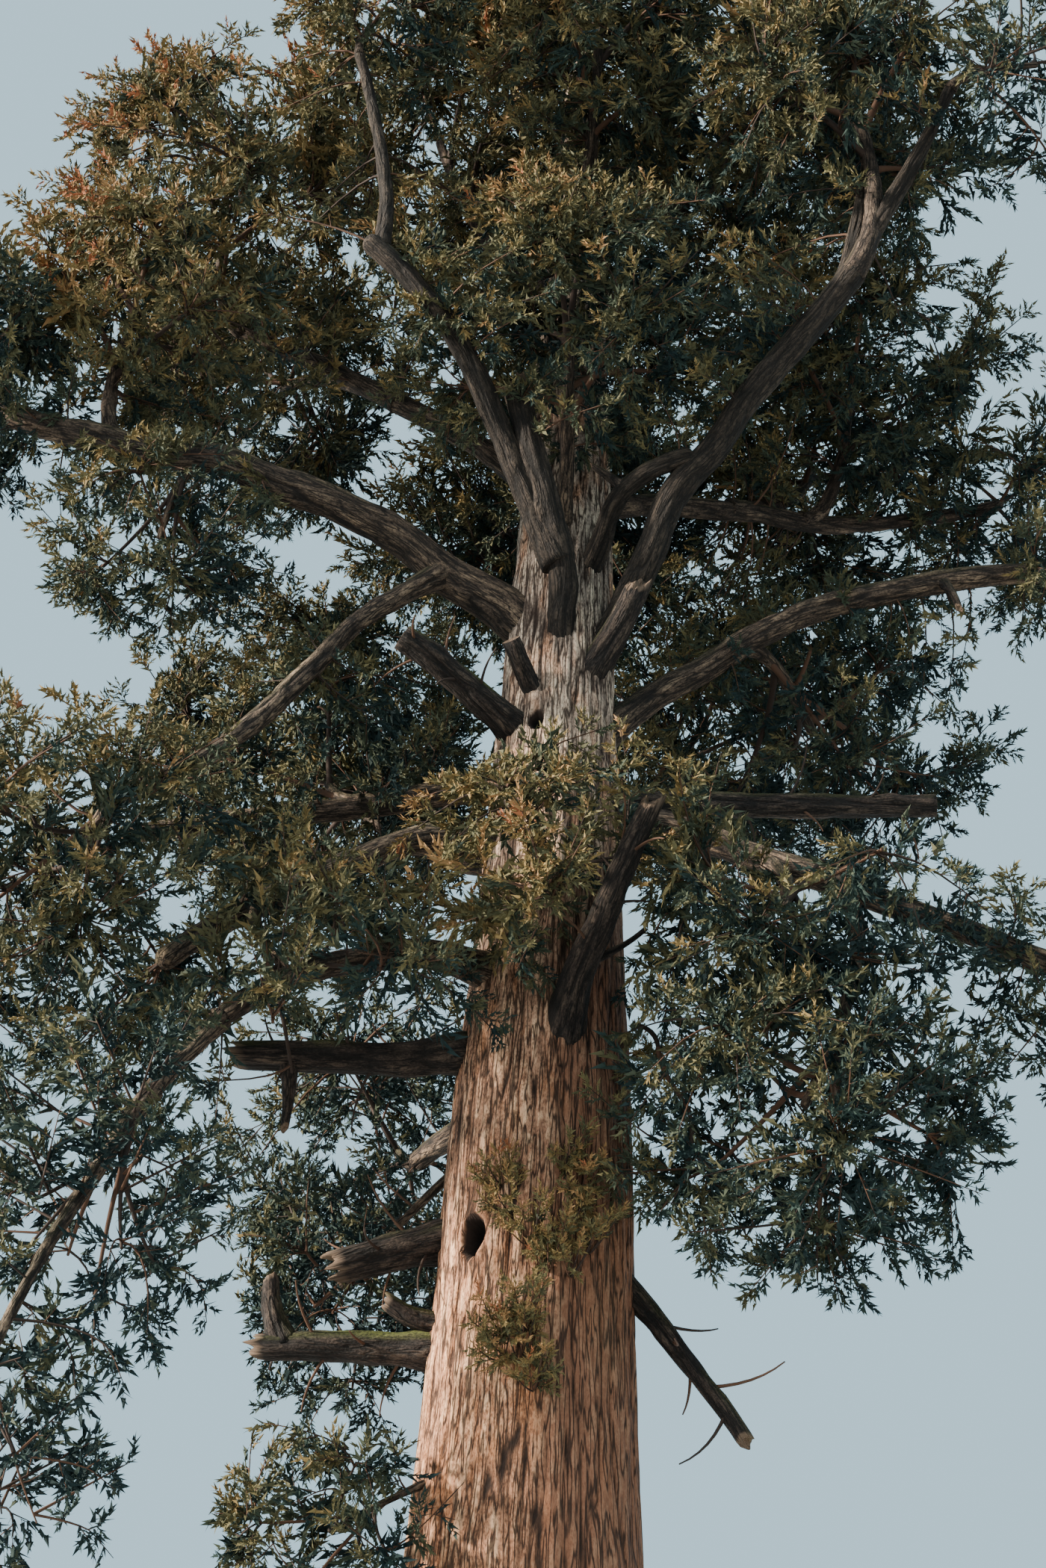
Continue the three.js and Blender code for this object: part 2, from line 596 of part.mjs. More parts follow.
// The core of a dense mass fills the middle of its space and leaves the rim to the sprays
function coreGeometry(mass) {
  const longest = Math.max(...mass.reach);
  const unit = weld(new THREE.OctahedronGeometry(1, 1));
  return moveVertices(unit, (point, index) => {
    const outward = point.clone().normalize();
    const room = roomAlong(mass, mass.heart, outward, longest);
    const size = CORE_SIZE * (1 - CORE_WOBBLE * chance(mass.seed, index, CHANNEL.core));
    return mass.heart.clone().addScaledVector(outward, room * size);
  });
}

function massSolid(mass, wood) {
  const parts = [stemGeometry(mass, 0)];
  if (mass.core) parts.push(coreGeometry(mass));
  for (const twig of twigsOf(mass)) {
    parts.push(twigGeometry(twig, mass.radius[1] * TWIG_GIRTH));
    parts.push(...spraysOf(mass, twig).map(sprayGeometry));
  }
  const joined = parts.map(solidOf).reduce((sum, part) => sum.add(part));
  return clearOf(joined, wood);
}

function namedMesh(name, solid, finish) {
  const mesh = new THREE.Mesh(geometryOf(solid), new THREE.MeshStandardMaterial(finish));
  mesh.name = name;
  return mesh;
}

// The tree: each limb is cut clear of the wood it grows from, each mass of all the wood
function growTree() {
  const tree = new THREE.Group();
  const wood = [solidOf(trunkGeometry(SEAT_GAP))];
  tree.add(namedMesh('trunk', solidOf(trunkGeometry(0)), BARK));
  for (const limb of [...limbs.values()].filter((each) => !each.forkOf)) {
    const solid = clearOf(limbSolid(limb, 0), wood);
    tree.add(namedMesh(limb.name, solid, limb.dead ? DEAD_WOOD : GREY_BARK));
    wood.push(limbSolid(limb, SEAT_GAP));
  }
  const stems = masses.map((mass) => solidOf(stemGeometry(mass, SEAT_GAP)));
  masses.forEach((mass, index) => {
    const others = stems.filter((stem, place) => place !== index);
    const solid = massSolid(mass, [...wood, ...others]);
    tree.add(namedMesh(mass.name, solid, FOLIAGE[index % FOLIAGE.length]));
  });
  return tree;
}

export default growTree();
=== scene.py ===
"""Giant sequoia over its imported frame: bark in relief, boughs, twigs and leafy sprays."""

import json
import logging
import math
from dataclasses import dataclass, fields
from enum import Enum, IntEnum
from typing import Iterable, Optional, Self, Union

import bpy
import numpy as np
from mathutils import Matrix, Vector

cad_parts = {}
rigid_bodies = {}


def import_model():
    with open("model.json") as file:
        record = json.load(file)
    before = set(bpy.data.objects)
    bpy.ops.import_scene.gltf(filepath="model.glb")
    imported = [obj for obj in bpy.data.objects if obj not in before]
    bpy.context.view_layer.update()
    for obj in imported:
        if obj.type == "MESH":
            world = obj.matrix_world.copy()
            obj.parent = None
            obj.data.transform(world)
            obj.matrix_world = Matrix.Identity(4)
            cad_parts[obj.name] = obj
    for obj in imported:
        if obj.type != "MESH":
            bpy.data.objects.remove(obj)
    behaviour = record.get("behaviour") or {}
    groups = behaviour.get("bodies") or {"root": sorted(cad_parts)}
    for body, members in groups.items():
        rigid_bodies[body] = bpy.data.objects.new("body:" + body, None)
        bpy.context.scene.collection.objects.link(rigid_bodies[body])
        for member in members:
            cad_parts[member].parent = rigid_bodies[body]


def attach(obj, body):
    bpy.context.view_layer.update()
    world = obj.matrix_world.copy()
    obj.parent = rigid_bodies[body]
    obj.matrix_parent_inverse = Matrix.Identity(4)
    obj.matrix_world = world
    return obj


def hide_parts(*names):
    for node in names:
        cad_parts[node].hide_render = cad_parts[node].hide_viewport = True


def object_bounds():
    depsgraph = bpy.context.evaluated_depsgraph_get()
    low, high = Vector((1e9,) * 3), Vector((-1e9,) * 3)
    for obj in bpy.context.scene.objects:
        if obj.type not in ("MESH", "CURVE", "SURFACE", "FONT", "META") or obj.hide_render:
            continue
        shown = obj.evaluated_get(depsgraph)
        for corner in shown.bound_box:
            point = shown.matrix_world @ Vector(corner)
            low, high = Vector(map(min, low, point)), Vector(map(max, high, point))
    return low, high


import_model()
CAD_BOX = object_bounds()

log = logging.getLogger("sequoia")

Array = np.ndarray
Triple = tuple[float, float, float]
Pair = tuple[float, float]
Numbers = Union[float, Array]
Material = bpy.types.Material
Piece = bpy.types.Object
Socket = bpy.types.NodeSocket

CAMERA_PLACE = (0.0, -22.9, 1.6)
UP = np.array((0.0, 0.0, 1.0))
NEARLY_UP = UP + np.array((0.003, 0.002, 0.0))
GOLDEN_ANGLE = 137.508
PIECE_LIMIT = 198000
CHANCE_WAVES = (12.9898, 78.233, 37.719)
CHANCE_SCALE = 43758.5453
NOISE_STRIDES = (1.0, 173.0, 3001.0)


class Region(Enum):
    """The parts of the crown, each of which becomes one leafy piece."""

    TOP = "top"
    LEFT = "left"
    RIGHT = "right"
    LOW_LEFT = "low_left"
    LOW_RIGHT = "low_right"
    BACK_HIGH = "back_high"
    BACK_MID = "back_mid"
    BACK_LOW = "back_low"


class End(Enum):
    """How the far end of a limb looks."""

    TAPERED = "tapered"
    SAWN = "sawn"
    BROKEN = "broken"


class Slot(Enum):
    """The material slots of the record."""

    TRUNK = "trunk_bark"
    LIMB = "limb_bark"
    DEAD = "dead_wood"
    LEAF = "foliage"


class Draw(IntEnum):
    """What a chance decides: each use has a number of its own."""

    TWIG_LEVEL = 1
    TWIG_BEARING = 2
    BRANCHLET_AIM = 3
    INNER = 6
    OUTER_DEPTH = 7
    INNER_DEPTH = 8
    CROWDED = 9
    BRANCHLET_TONE = 10
    SPRAY_TURN = 12
    SPRAY_LENGTH = 13
    SPRAY_TONE = 14
    PLUME_TURN = 15
    PLUME_LEAN = 16
    PLUME_LENGTH = 17
    PLUME_TONE = 18
    PLUME_SPIN = 19
    PLUME_KIND = 20
    KNOT_PLACE = 21
    KNOT_TURN = 22
    TWIG_TINT = 31
    STUB_PLACE = 41
    STUB_LENGTH = 42


@dataclass(frozen=True)
class LimbSize:
    """One limb as the frame has it: what it grows on and where, then its course and girth.

    Bearings and rises are in degrees, evenly spaced from root to end. Lengths and radii are in
    metres. A fork, or a stub too small for the frame, stands for the piece that it is part of.
    """

    name: str
    on: str
    at: float
    bearing: tuple[float, ...]
    rise: tuple[float, ...]
    length: float
    radius: Pair
    end: End = End.TAPERED
    moss: float = 0.25
    dead: bool = False
    stands_for: str = ""
    bare_from: float = 0.0


@dataclass(frozen=True)
class MassSize:
    """One leafy mass: the bough and place its stem leaves, its heart, reach and twigs.

    Warmth runs from 0 for cold dark green to 1 for rusty gold, droop from 0 for level twigs
    to 1 for hanging strands, and fill is its share of the usual number of branchlets.
    """

    name: str
    on: str
    at: float
    heart: Triple
    reach: Triple
    twigs: int
    lift: float
    region: Region
    warmth: float
    droop: float = 0.2
    fill: float = 1.0

    def mean_reach(self) -> float:
        """Returns the mean of its three reaches."""
        return sum(self.reach) / 3


LIMBS = tuple(LimbSize(*row) for row in (
    ("left_main_bough", "trunk", 19.8, (196, 195, 174), (36, 26, 3, 28), 8.55,
     (0.29, 0.17)),
    ("left_fork_bough", "left_main_bough", 0.22, (202, 212), (-42, -62, -41), 6.4,
     (0.15, 0.11)),
    ("left_high_bough", "trunk", 22.4, (172, 186), (48, 22), 6, (0.19, 0.11)),
    ("front_upright_bough", "trunk", 18.9, (282, 214), (49, 72), 4.35, (0.19, 0.18),
     End.BROKEN, 0.7),
    ("upper_left_bough", "front_upright_bough", 0.43, (213, 234, 192), (61, 50, 37), 5.15,
     (0.18, 0.14), End.TAPERED, 0.5),
    ("upper_left_leader", "upper_left_bough", 0.97, (193, 220), (94, 68), 3.8,
     (0.11, 0.07)),
    ("right_main_bough", "trunk", 18.45, (337, 306, 335, 317), (58, 54, 45, 39), 7.5,
     (0.23, 0.18)),
    ("right_main_foot", "trunk", 20.4, (316, 289, 362), (45, 32, 15), 2.9, (0.15, 0.125),
     End.TAPERED, 0.25, False, "right_main_bough"),
    ("right_upright_fork", "right_main_bough", 0.97, (330, 330), (69, 84), 2.2,
     (0.13, 0.095), End.TAPERED, 0.25, False, "right_main_bough"),
    ("right_leader", "right_main_bough", 0.96, (328, 314), (53, 55), 3.35, (0.14, 0.085)),
    ("right_mid_bough", "trunk", 17.65, (-1, -7), (53, 29, -4), 7.7, (0.21, 0.14)),
    ("right_high_bough", "trunk", 22.3, (24, 27, -12), (32, 12, 10), 7.4, (0.17, 0.105)),
    ("right_low_bough", "trunk", 17.5, (-12, -3), (-25, -26), 6.5, (0.2, 0.135)),
    ("left_back_bough", "trunk", 17.7, (169, 187), (-2, -16), 5.55, (0.19, 0.12)),
    ("left_low_bough", "trunk", 16.45, (204, 188, 216), (9, -33, -51), 5.5, (0.2, 0.135)),
    ("left_arching_bough", "trunk", 14.55, (217, 209), (7, -51), 4.75, (0.19, 0.125)),
    ("left_weeping_bough", "left_arching_bough", 1, (232, 228), (-54, -71), 4.75,
     (0.115, 0.05)),
    ("back_high_bough", "trunk", 22.8, (90, 82), (48, 36), 4.7, (0.2, 0.13)),
    ("back_mid_bough", "trunk", 17.2, (76, 80), (34, 26), 4.7, (0.22, 0.14)),
    ("back_low_bough", "trunk", 13.4, (118, 112), (12, 4), 3.7, (0.2, 0.13)),
    ("dead_right_limb", "trunk", 17.3, (11, -4), (9, -1), 5, (0.19, 0.155), End.SAWN, 0.35,
     True, "", 0.52),
    ("dead_centre_limb", "trunk", 18, (228, 202), (14, 26), 2.6, (0.2, 0.17), End.SAWN, 0.8,
     True),
    ("front_snag", "trunk", 12.8, (283, 308), (41, 51), 3.9, (0.25, 0.12), End.BROKEN, 0.3,
     True),
    ("dead_left_limb", "trunk", 13.8, (185, 189), (-9, -4), 3.4, (0.23, 0.18), End.BROKEN,
     0.5, True, "", 0.55),
    ("broken_stub", "trunk", 11.6, (182, 188), (-12, -20), 2.1, (0.25, 0.18), End.BROKEN,
     0.5, True),
    ("mossy_stub", "trunk", 10.15, (180, 180), (-2, 0), 2.8, (0.19, 0.15), End.BROKEN, 1,
     True),
    ("drooping_dead_limb", "trunk", 11.9, (-5, -16), (-44, -59), 3.55, (0.16, 0.085),
     End.BROKEN, 0.3, True),
))

SHADED_LIMBS = ("front_upright_bough", "upper_left_bough", "upper_left_leader",
                "right_main_bough", "right_main_foot", "right_upright_fork", "right_leader",
                "back_high_bough")

OFFSHOOTS = tuple(LimbSize(*row) for row in (
    ("mossy_upturn", "mossy_stub", 0.95, (175, 168), (60, 84), 0.75, (0.13, 0.08),
     End.BROKEN, 0.9, True, "mossy_stub"),
    ("short_mossy_stub", "trunk", 18.18, (247, 237), (31, 38), 1.58, (0.125, 0.115),
     End.SAWN, 1.0, True, "dead_centre_limb"),
    ("right_collar_stub", "trunk", 18.8, (315, 312), (21, 60), 1.87, (0.19, 0.16),
     End.BROKEN, 0.9, True, "right_main_bough"),
    ("lower_left_stub", "trunk", 10.56, (183, 197), (-34, 28), 1.6, (0.12, 0.09),
     End.BROKEN, 0.4, True, "mossy_stub"),
    ("right_foot_stub", "right_main_foot", 0.68, (183, 163), (48, 41), 0.6,
     (0.07, 0.05), End.BROKEN, 0.4, True, "right_main_bough"),
    ("snag_fork", "front_snag", 0.52, (19, 10), (32, 46), 0.9, (0.05, 0.03),
     End.BROKEN, 0.1, True, "front_snag"),
    ("hanging_bark", "dead_left_limb", 0.89, (200, 200), (-97, -90), 0.85, (0.1, 0.05),
     End.BROKEN, 0.3, True, "dead_left_limb"),
    ("mid_bough_stub", "right_mid_bough", 0.82, (300, 299), (-53, -79), 0.7,
     (0.07, 0.05), End.BROKEN, 0.3, True, "right_mid_bough"),
))

# Masses that lie in shade are given less warmth, so their darker tints are partly painted shade.
MASSES = tuple(MassSize(*row) for row in (
    ("foliage_top", "trunk", 33.4, (0.55, -0.35, 34.6), (3.1, 3.1, 3.4), 7, 0.35,
     Region.TOP, 0.75, 0.05, 1.25),
    ("foliage_upper_left", "trunk", 26.8, (-1.6, 0.3, 30.6), (3.2, 3, 2.8), 5, 0.15,
     Region.LEFT, 0.75, 0.05, 1.1),
    ("foliage_upper_front", "trunk", 26.6, (0.9, -2.5, 29.8), (3, 2.5, 3), 5, 0.15,
     Region.TOP, 0.7, 0.1, 1.3),
    ("foliage_upper_right", "trunk", 28, (3.6, 0.3, 30.8), (3.2, 3, 3), 6, 0.15,
     Region.TOP, 0.65, 0.1, 1.2),
    ("foliage_upper_back", "trunk", 28.6, (0.9, 3.1, 31.2), (3.4, 3, 3.3), 4, 0.15,
     Region.BACK_HIGH, 0.55, 0.1),
    ("foliage_leader_left", "upper_left_leader", 1, (-2.2, -3.2, 29.2), (1.9, 2, 1.9),
     5, 0.25, Region.LEFT, 0.7, 0.05),
    ("foliage_left_dome", "left_high_bough", 1, (-4.7, -0.8, 27.7), (3.3, 3, 2.8), 6,
     0.2, Region.LEFT, 0.8, 0.1),
    ("foliage_left_shoulder", "left_main_bough", 0.76, (-5.6, -1.4, 24.7),
     (3.3, 2.5, 2.1), 6, 0.1, Region.LEFT, 0.8, 0.15),
    ("foliage_left_tip", "left_main_bough", 1, (-7.9, -1.4, 23.8), (2.6, 2.4, 2.5), 5,
     0, Region.LEFT, 0.5, 0.2),
    ("foliage_left_under", "left_main_bough", 0.64, (-4.9, -1, 20.8), (2.1, 1.7, 1.5),
     4, -0.25, Region.LEFT, 0.55, 0.4),
    ("foliage_heart_front", "trunk", 21.3, (0.5, -1.9, 24.3), (3.7, 1.9, 2.7), 6, 0.1,
     Region.RIGHT, 0.6, 0.15, 1.45),
    ("foliage_right_upper", "right_main_bough", 1, (4.5, -3, 27.5), (2.9, 2.7, 2.7), 6,
     0.2, Region.RIGHT, 0.6, 0.1),
    ("foliage_right_far_top", "right_leader", 1, (6.8, -4.2, 26.9), (2.3, 2.1, 2.1), 7,
     0.1, Region.RIGHT, 0.35, 0.2, 0.6),
    ("foliage_right_shoulder", "right_high_bough", 0.58, (4.9, 0.7, 26), (3, 2.7, 2.5),
     6, 0.1, Region.RIGHT, 0.55, 0.15),
    ("foliage_right_far", "right_high_bough", 1, (7.3, 2.3, 24.8), (2.3, 2.4, 2), 5, 0,
     Region.RIGHT, 0.4, 0.25, 0.8),
    ("foliage_right_mid_tip", "right_mid_bough", 1, (7.9, -0.6, 20.9), (1.8, 1.9, 1.7),
     5, -0.1, Region.RIGHT, 0.4, 0.3, 0.7),
    ("foliage_right_middle", "right_mid_bough", 0.42, (4, 1.5, 19.7), (3.2, 2.4, 2.2),
     6, 0, Region.LOW_RIGHT, 0.38, 0.3, 0.8),
    ("foliage_right_low", "right_low_bough", 0.42, (3, -1.9, 14.7), (3.1, 2, 1.9), 6,
     -0.1, Region.LOW_RIGHT, 0.42, 0.4, 1.15),
    ("foliage_right_droop", "right_low_bough", 0.56, (3.15, -1.5, 12.4), (2.6, 2, 2.3),
     6, -0.3, Region.LOW_RIGHT, 0.36, 0.6, 1.15),
    ("foliage_right_low_tip", "right_low_bough", 1, (7, -0.7, 14.4), (1.9, 1.7, 1.6), 5,
     -0.1, Region.LOW_RIGHT, 0.25, 0.4, 0.8),
    ("foliage_front", "trunk", 15.6, (0.45, -2.05, 15.1), (2.05, 1.3, 2.1), 4, 0,
     Region.LOW_RIGHT, 0.74, 0.35, 1.4),
    ("foliage_left_middle", "left_back_bough", 0.45, (-2.6, 0.9, 18.2), (2.4, 2.3, 2.3), 5,
     0, Region.LOW_LEFT, 0.45, 0.3),
    ("foliage_left_outer", "left_fork_bough", 1, (-5.2, -1.7, 14.9), (3.2, 2.8, 2.5), 6,
     0, Region.LOW_LEFT, 0.6, 0.3, 0.9),
    ("foliage_left_lower", "left_low_bough", 0.7, (-2.4, -1.8, 13.6), (2.5, 2, 1.7), 5,
     -0.2, Region.LOW_LEFT, 0.5, 0.4),
    ("foliage_weeping", "left_weeping_bough", 0.3, (-4.1, -3.1, 10.7), (1.6, 1.5, 2.7),
     7, -1.2, Region.LOW_LEFT, 0.3, 1.0, 0.6),
    ("foliage_weeping_tip", "left_weeping_bough", 1, (-4.7, -3.4, 8.1), (1.4, 1.4, 2.1),
     6, -1, Region.LOW_LEFT, 0.3, 1.0, 0.6),
    ("foliage_left_hanging", "trunk", 12.9, (-2, 1.3, 11.3), (1.3, 1.4, 2.1), 5, -0.5,
     Region.LOW_LEFT, 0.2, 0.8, 1.1),
    ("foliage_base", "trunk", 8.9, (-1.75, -0.9, 7.9), (1.3, 1.2, 1.25), 5, 0,
     Region.LOW_LEFT, 0.42, 0.4, 1.2),
    ("foliage_back_high", "back_high_bough", 1, (0.5, 4.7, 26.6), (4.7, 3.2, 3.4), 5,
     0.1, Region.BACK_MID, 0.5, 0.15, 1.15),
    ("foliage_back_mid", "back_mid_bough", 1, (2.9, 4.9, 22.3), (3.7, 3, 3.5), 5, 0,
     Region.BACK_MID, 0.45, 0.25),
    ("foliage_back_low", "back_low_bough", 1, (-1.7, 4.9, 14.9), (3.1, 3, 2.7), 5, -0.1,
     Region.BACK_LOW, 0.35, 0.4, 0.55),
    ("foliage_back_left", "left_high_bough", 0.55, (-4.2, 3.4, 28), (3.3, 3.1, 3), 5,
     0.1, Region.BACK_HIGH, 0.6, 0.15),
    ("foliage_back_right", "right_high_bough", 0.4, (4.7, 3.7, 26.7), (3.3, 3, 3.1), 5,
     0.1, Region.BACK_HIGH, 0.5, 0.2),
    ("foliage_back_left_low", "trunk", 16.6, (-3.3, 4, 20.8), (3.4, 2.9, 3), 5, 0,
     Region.BACK_LOW, 0.45, 0.3),
))


def chance(seed: Numbers, index: Numbers, channel: float) -> Array:
    """Gives the frame's repeatable chance.

    Args:
        seed: One number for each thing that has its own chances.
        index: Which of its parts is asked about.
        channel: Which of that part's chances is asked for.

    Returns:
        A number from 0 to 1, or an array of them.
    """
    by_seed, by_index, by_channel = CHANCE_WAVES
    wave = np.sin(seed * by_seed + index * by_index + channel * by_channel) * CHANCE_SCALE
    return wave - np.floor(wave)


def unit(vectors: Array) -> Array:
    """Returns vectors cut or stretched to a length of one."""
    return vectors / np.maximum(np.linalg.norm(vectors, axis=-1, keepdims=True), 1e-9)


def heading_of(bearing: Numbers, rise: Numbers) -> Array:
    """Turns a bearing and a rise in degrees into a direction.

    Args:
        bearing: Degrees round from +X towards +Y.
        rise: Degrees above the level.

    Returns:
        Directions of length one, with the three axes last.
    """
    turn, slope = np.broadcast_arrays(np.radians(bearing), np.radians(rise))
    level = np.cos(slope)
    return np.stack((np.cos(turn) * level, np.sin(turn) * level, np.sin(slope)), axis=-1)


def square_to(axis: Array) -> tuple[Array, Array]:
    """Returns a level direction square to each axis, and the one square to both."""
    side = unit(np.cross(NEARLY_UP, axis))
    return side, np.cross(axis, side)


def lean_axis(height: Numbers) -> Array:
    """Returns the points of the trunk's leaning axis at some heights."""
    height = np.asarray(height, dtype=float)
    return np.stack((height * math.tan(Trunk.lean), height * 0, height), axis=-1)


def value_noise(points: Array, seed: float) -> Array:
    """Makes smooth noise over cells one unit wide.

    Args:
        points: Where it is asked for, with the three axes last.
        seed: Which noise.

    Returns:
        A number from 0 to 1 for each point.
    """
    cell = np.floor(points)
    part = points - cell
    part = part * part * (3 - 2 * part)
    total = np.zeros(points.shape[:-1])
    for corner in np.ndindex(2, 2, 2):
        weight = np.prod(np.where(np.array(corner, dtype=bool), part, 1 - part), axis=-1)
        spot = (cell + corner) @ np.array(NOISE_STRIDES)
        total += weight * chance(seed, spot, 0)
    return total


@dataclass(frozen=True)
class Way:
    """A bent path through a few points."""

    points: Array

    def step(self, part: Numbers) -> tuple[Array, Array]:
        """Finds the straight step that a part of the path is on.

        Args:
            part: From 0 at its root to 1 at its end.

        Returns:
            The number of its first point, and the share of the step already gone.
        """
        place = np.clip(np.asarray(part, dtype=float), 0, 1) * (len(self.points) - 1)
        index = np.minimum(place.astype(int), len(self.points) - 2)
        return index, (place - index)[..., None]

    def at(self, part: Numbers) -> Array:
        """Returns the places at some parts of the path, from 0 at its root to 1 at its end."""
        index, share = self.step(part)
        return self.points[index] * (1 - share) + self.points[index + 1] * share

    def heading(self, part: Numbers) -> Array:
        """Returns the directions of the path, of length one, at some parts of it."""
        index, _ = self.step(part)
        return unit(self.points[index + 1] - self.points[index])

    def length(self) -> float:
        """Returns the length of the path."""
        return float(np.linalg.norm(np.diff(self.points, axis=0), axis=1).sum())

    def carried_frames(self, parts: Array) -> tuple[Array, Array, Array]:
        """Carries a square frame along the path without twisting it.

        Args:
            parts: Parts of the path in rising order.

        Returns:
            The headings and the two directions square to each.
        """
        headings = self.heading(parts)
        smooth = headings.copy()
        smooth[1:-1] = unit(headings[:-2] + 2 * headings[1:-1] + headings[2:])
        side = np.zeros_like(smooth)
        side[0] = square_to(smooth[:1])[0][0]
        for k in range(1, len(smooth)):
            turned = side[k - 1] - smooth[k] * np.dot(side[k - 1], smooth[k])
            side[k] = unit(turned)
        return smooth, side, np.cross(smooth, side)


@dataclass(frozen=True)
class Relief:
    """The furrows of a bark: their depth, width, length and how narrow their bottoms are.

    Three noises shape it: broad furrows, narrow ones and flakes. A slow one bends them all.
    """

    depth: float
    across: float
    along: float
    sharp: float = 3.0
    weave: float = 1.3
    deepest_share: float = 0.24
    slow_cell: Triple = (3.0, 3.0, 0.8)
    narrow_scale: Triple = (2.2, 2.2, 2.7)
    flake_scale: Triple = (4.5, 4.5, 3.4)
    slow_seed: int = 5
    broad_share: float = 0.8
    narrow_share: float = 0.3
    flake_share: float = 0.22
    crest_level: float = 0.35
    ridge_top: float = 1.05
    flake_shade: float = 0.3

    def shape(self, grain: Array, seed: float, radius: Array) -> tuple[Array, Array]:
        """Shapes the bark where its grain coordinates say.

        Args:
            grain: Two coordinates round the stem and one along it, in metres.
            seed: Which pattern.
            radius: The stem's radius there, since thin stems have shallow furrows.

        Returns:
            How far the bark stands out, in metres, and 0 in a furrow to 1 on a ridge.
        """
        cell = np.array((self.across, self.across, self.along))
        slow = value_noise(grain / (cell * self.slow_cell), seed + self.slow_seed) - 0.5
        bent = grain / cell + slow[..., None] * self.weave
        broad = (1 - np.abs(2 * value_noise(bent, seed) - 1)) ** self.sharp
        narrow = 1 - np.abs(2 * value_noise(bent * self.narrow_scale, seed + 1) - 1)
        flake = value_noise(bent * self.flake_scale, seed + 2)
        furrow = np.clip(self.broad_share * broad + self.narrow_share * narrow ** self.sharp, 0, 1)
        depth = np.minimum(self.depth, radius * self.deepest_share)
        stand = depth * (self.crest_level - furrow + self.flake_share * (flake - 0.5))
        return stand, np.clip(self.ridge_top - furrow - self.flake_shade * (1 - flake), 0, 1)


def mark(mesh: bpy.types.Mesh, name: str, kind: str, values: Array) -> None:
    """Writes one attribute on the corners of a mesh.

    Args:
        mesh: The mesh.
        name: The attribute's name.
        kind: Blender's name for its data type.
        values: A value, or a row of three, for each corner.
    """
    field = "vector" if kind == "FLOAT_VECTOR" else "value"
    mesh.attributes.new(name, kind, "POINT").data.foreach_set(field, values.astype(
        np.int32 if kind == "INT" else np.float32).ravel())


@dataclass
class Skin:
    """A closed surface of bark while it is being built, with what its finish reads."""

    corners: Array
    faces: list[tuple[int, ...]]
    grain: Array
    ridge: Array
    moss: Array
    wood: Array

    @staticmethod
    def wrap(rings: Array, grain: Array, ridge: Array, moss: Array, wood: Array) -> "Skin":
        """Closes rows of rings into a skin.

        Args:
            rings: Corners as rings by sides by axes.
            grain: Grain coordinates of the same corners.
            ridge: From 0 in a furrow to 1 on a ridge.
            moss: From 0 for none to 1 for thick.
            wood: From 0 for bark to 1 for bare wood.

        Returns:
            The closed skin.
        """
        count, sides = rings.shape[:2]
        ids = np.arange(count * sides).reshape(count, sides)
        after = np.roll(ids, -1, axis=1)
        quads = np.stack((ids[:-1], after[:-1], after[1:], ids[1:]), axis=-1).reshape(-1, 4)
        start, end = count * sides, count * sides + 1
        faces = [tuple(row) for row in quads.tolist()]
        faces += [(start, after[0, k], ids[0, k]) for k in range(sides)]
        faces += [(end, ids[-1, k], after[-1, k]) for k in range(sides)]

        def with_ends(values: Array) -> Array:
            """Adds the mean of the first and the last ring for the two end corners."""
            flat = values.reshape(count * sides, *values.shape[2:])
            return np.concatenate((flat, [values[0].mean(axis=0), values[-1].mean(axis=0)]))

        return Skin(with_ends(rings), faces, with_ends(grain), with_ends(ridge),
                    with_ends(moss), with_ends(wood))

    @staticmethod
    def joined(skins: Iterable["Skin"]) -> "Skin":
        """Joins several skins into one.

        Args:
            skins: The skins, in order.

        Returns:
            One skin with all their corners and faces.
        """
        skins = list(skins)
        faces: list[tuple[int, ...]] = []
        shift = 0
        for skin in skins:
            faces += [tuple(corner + shift for corner in face) for face in skin.faces]
            shift += len(skin.corners)
        stack = {name: np.concatenate([getattr(skin, name) for skin in skins])
                 for name in ("corners", "grain", "ridge", "moss", "wood")}
        return Skin(faces=faces, **stack)

    def piece(self, name: str, finish: Material) -> Piece:
        """Makes the mesh object.

        Args:
            name: The name of the piece.
            finish: Its material.

        Returns:
            The object, at the origin, smooth shaded, with its attributes.
        """
        mesh = bpy.data.meshes.new(name)
        mesh.from_pydata(self.corners.tolist(), [], self.faces)
        mark(mesh, "grain", "FLOAT_VECTOR", self.grain)
        for key, values in (("ridge", self.ridge), ("moss", self.moss), ("wood", self.wood)):
            mark(mesh, key, "FLOAT", values)
        mesh.shade_smooth()
        mesh.materials.append(finish)
        piece = bpy.data.objects.new(name, mesh)
        bpy.context.scene.collection.objects.link(piece)
        return piece


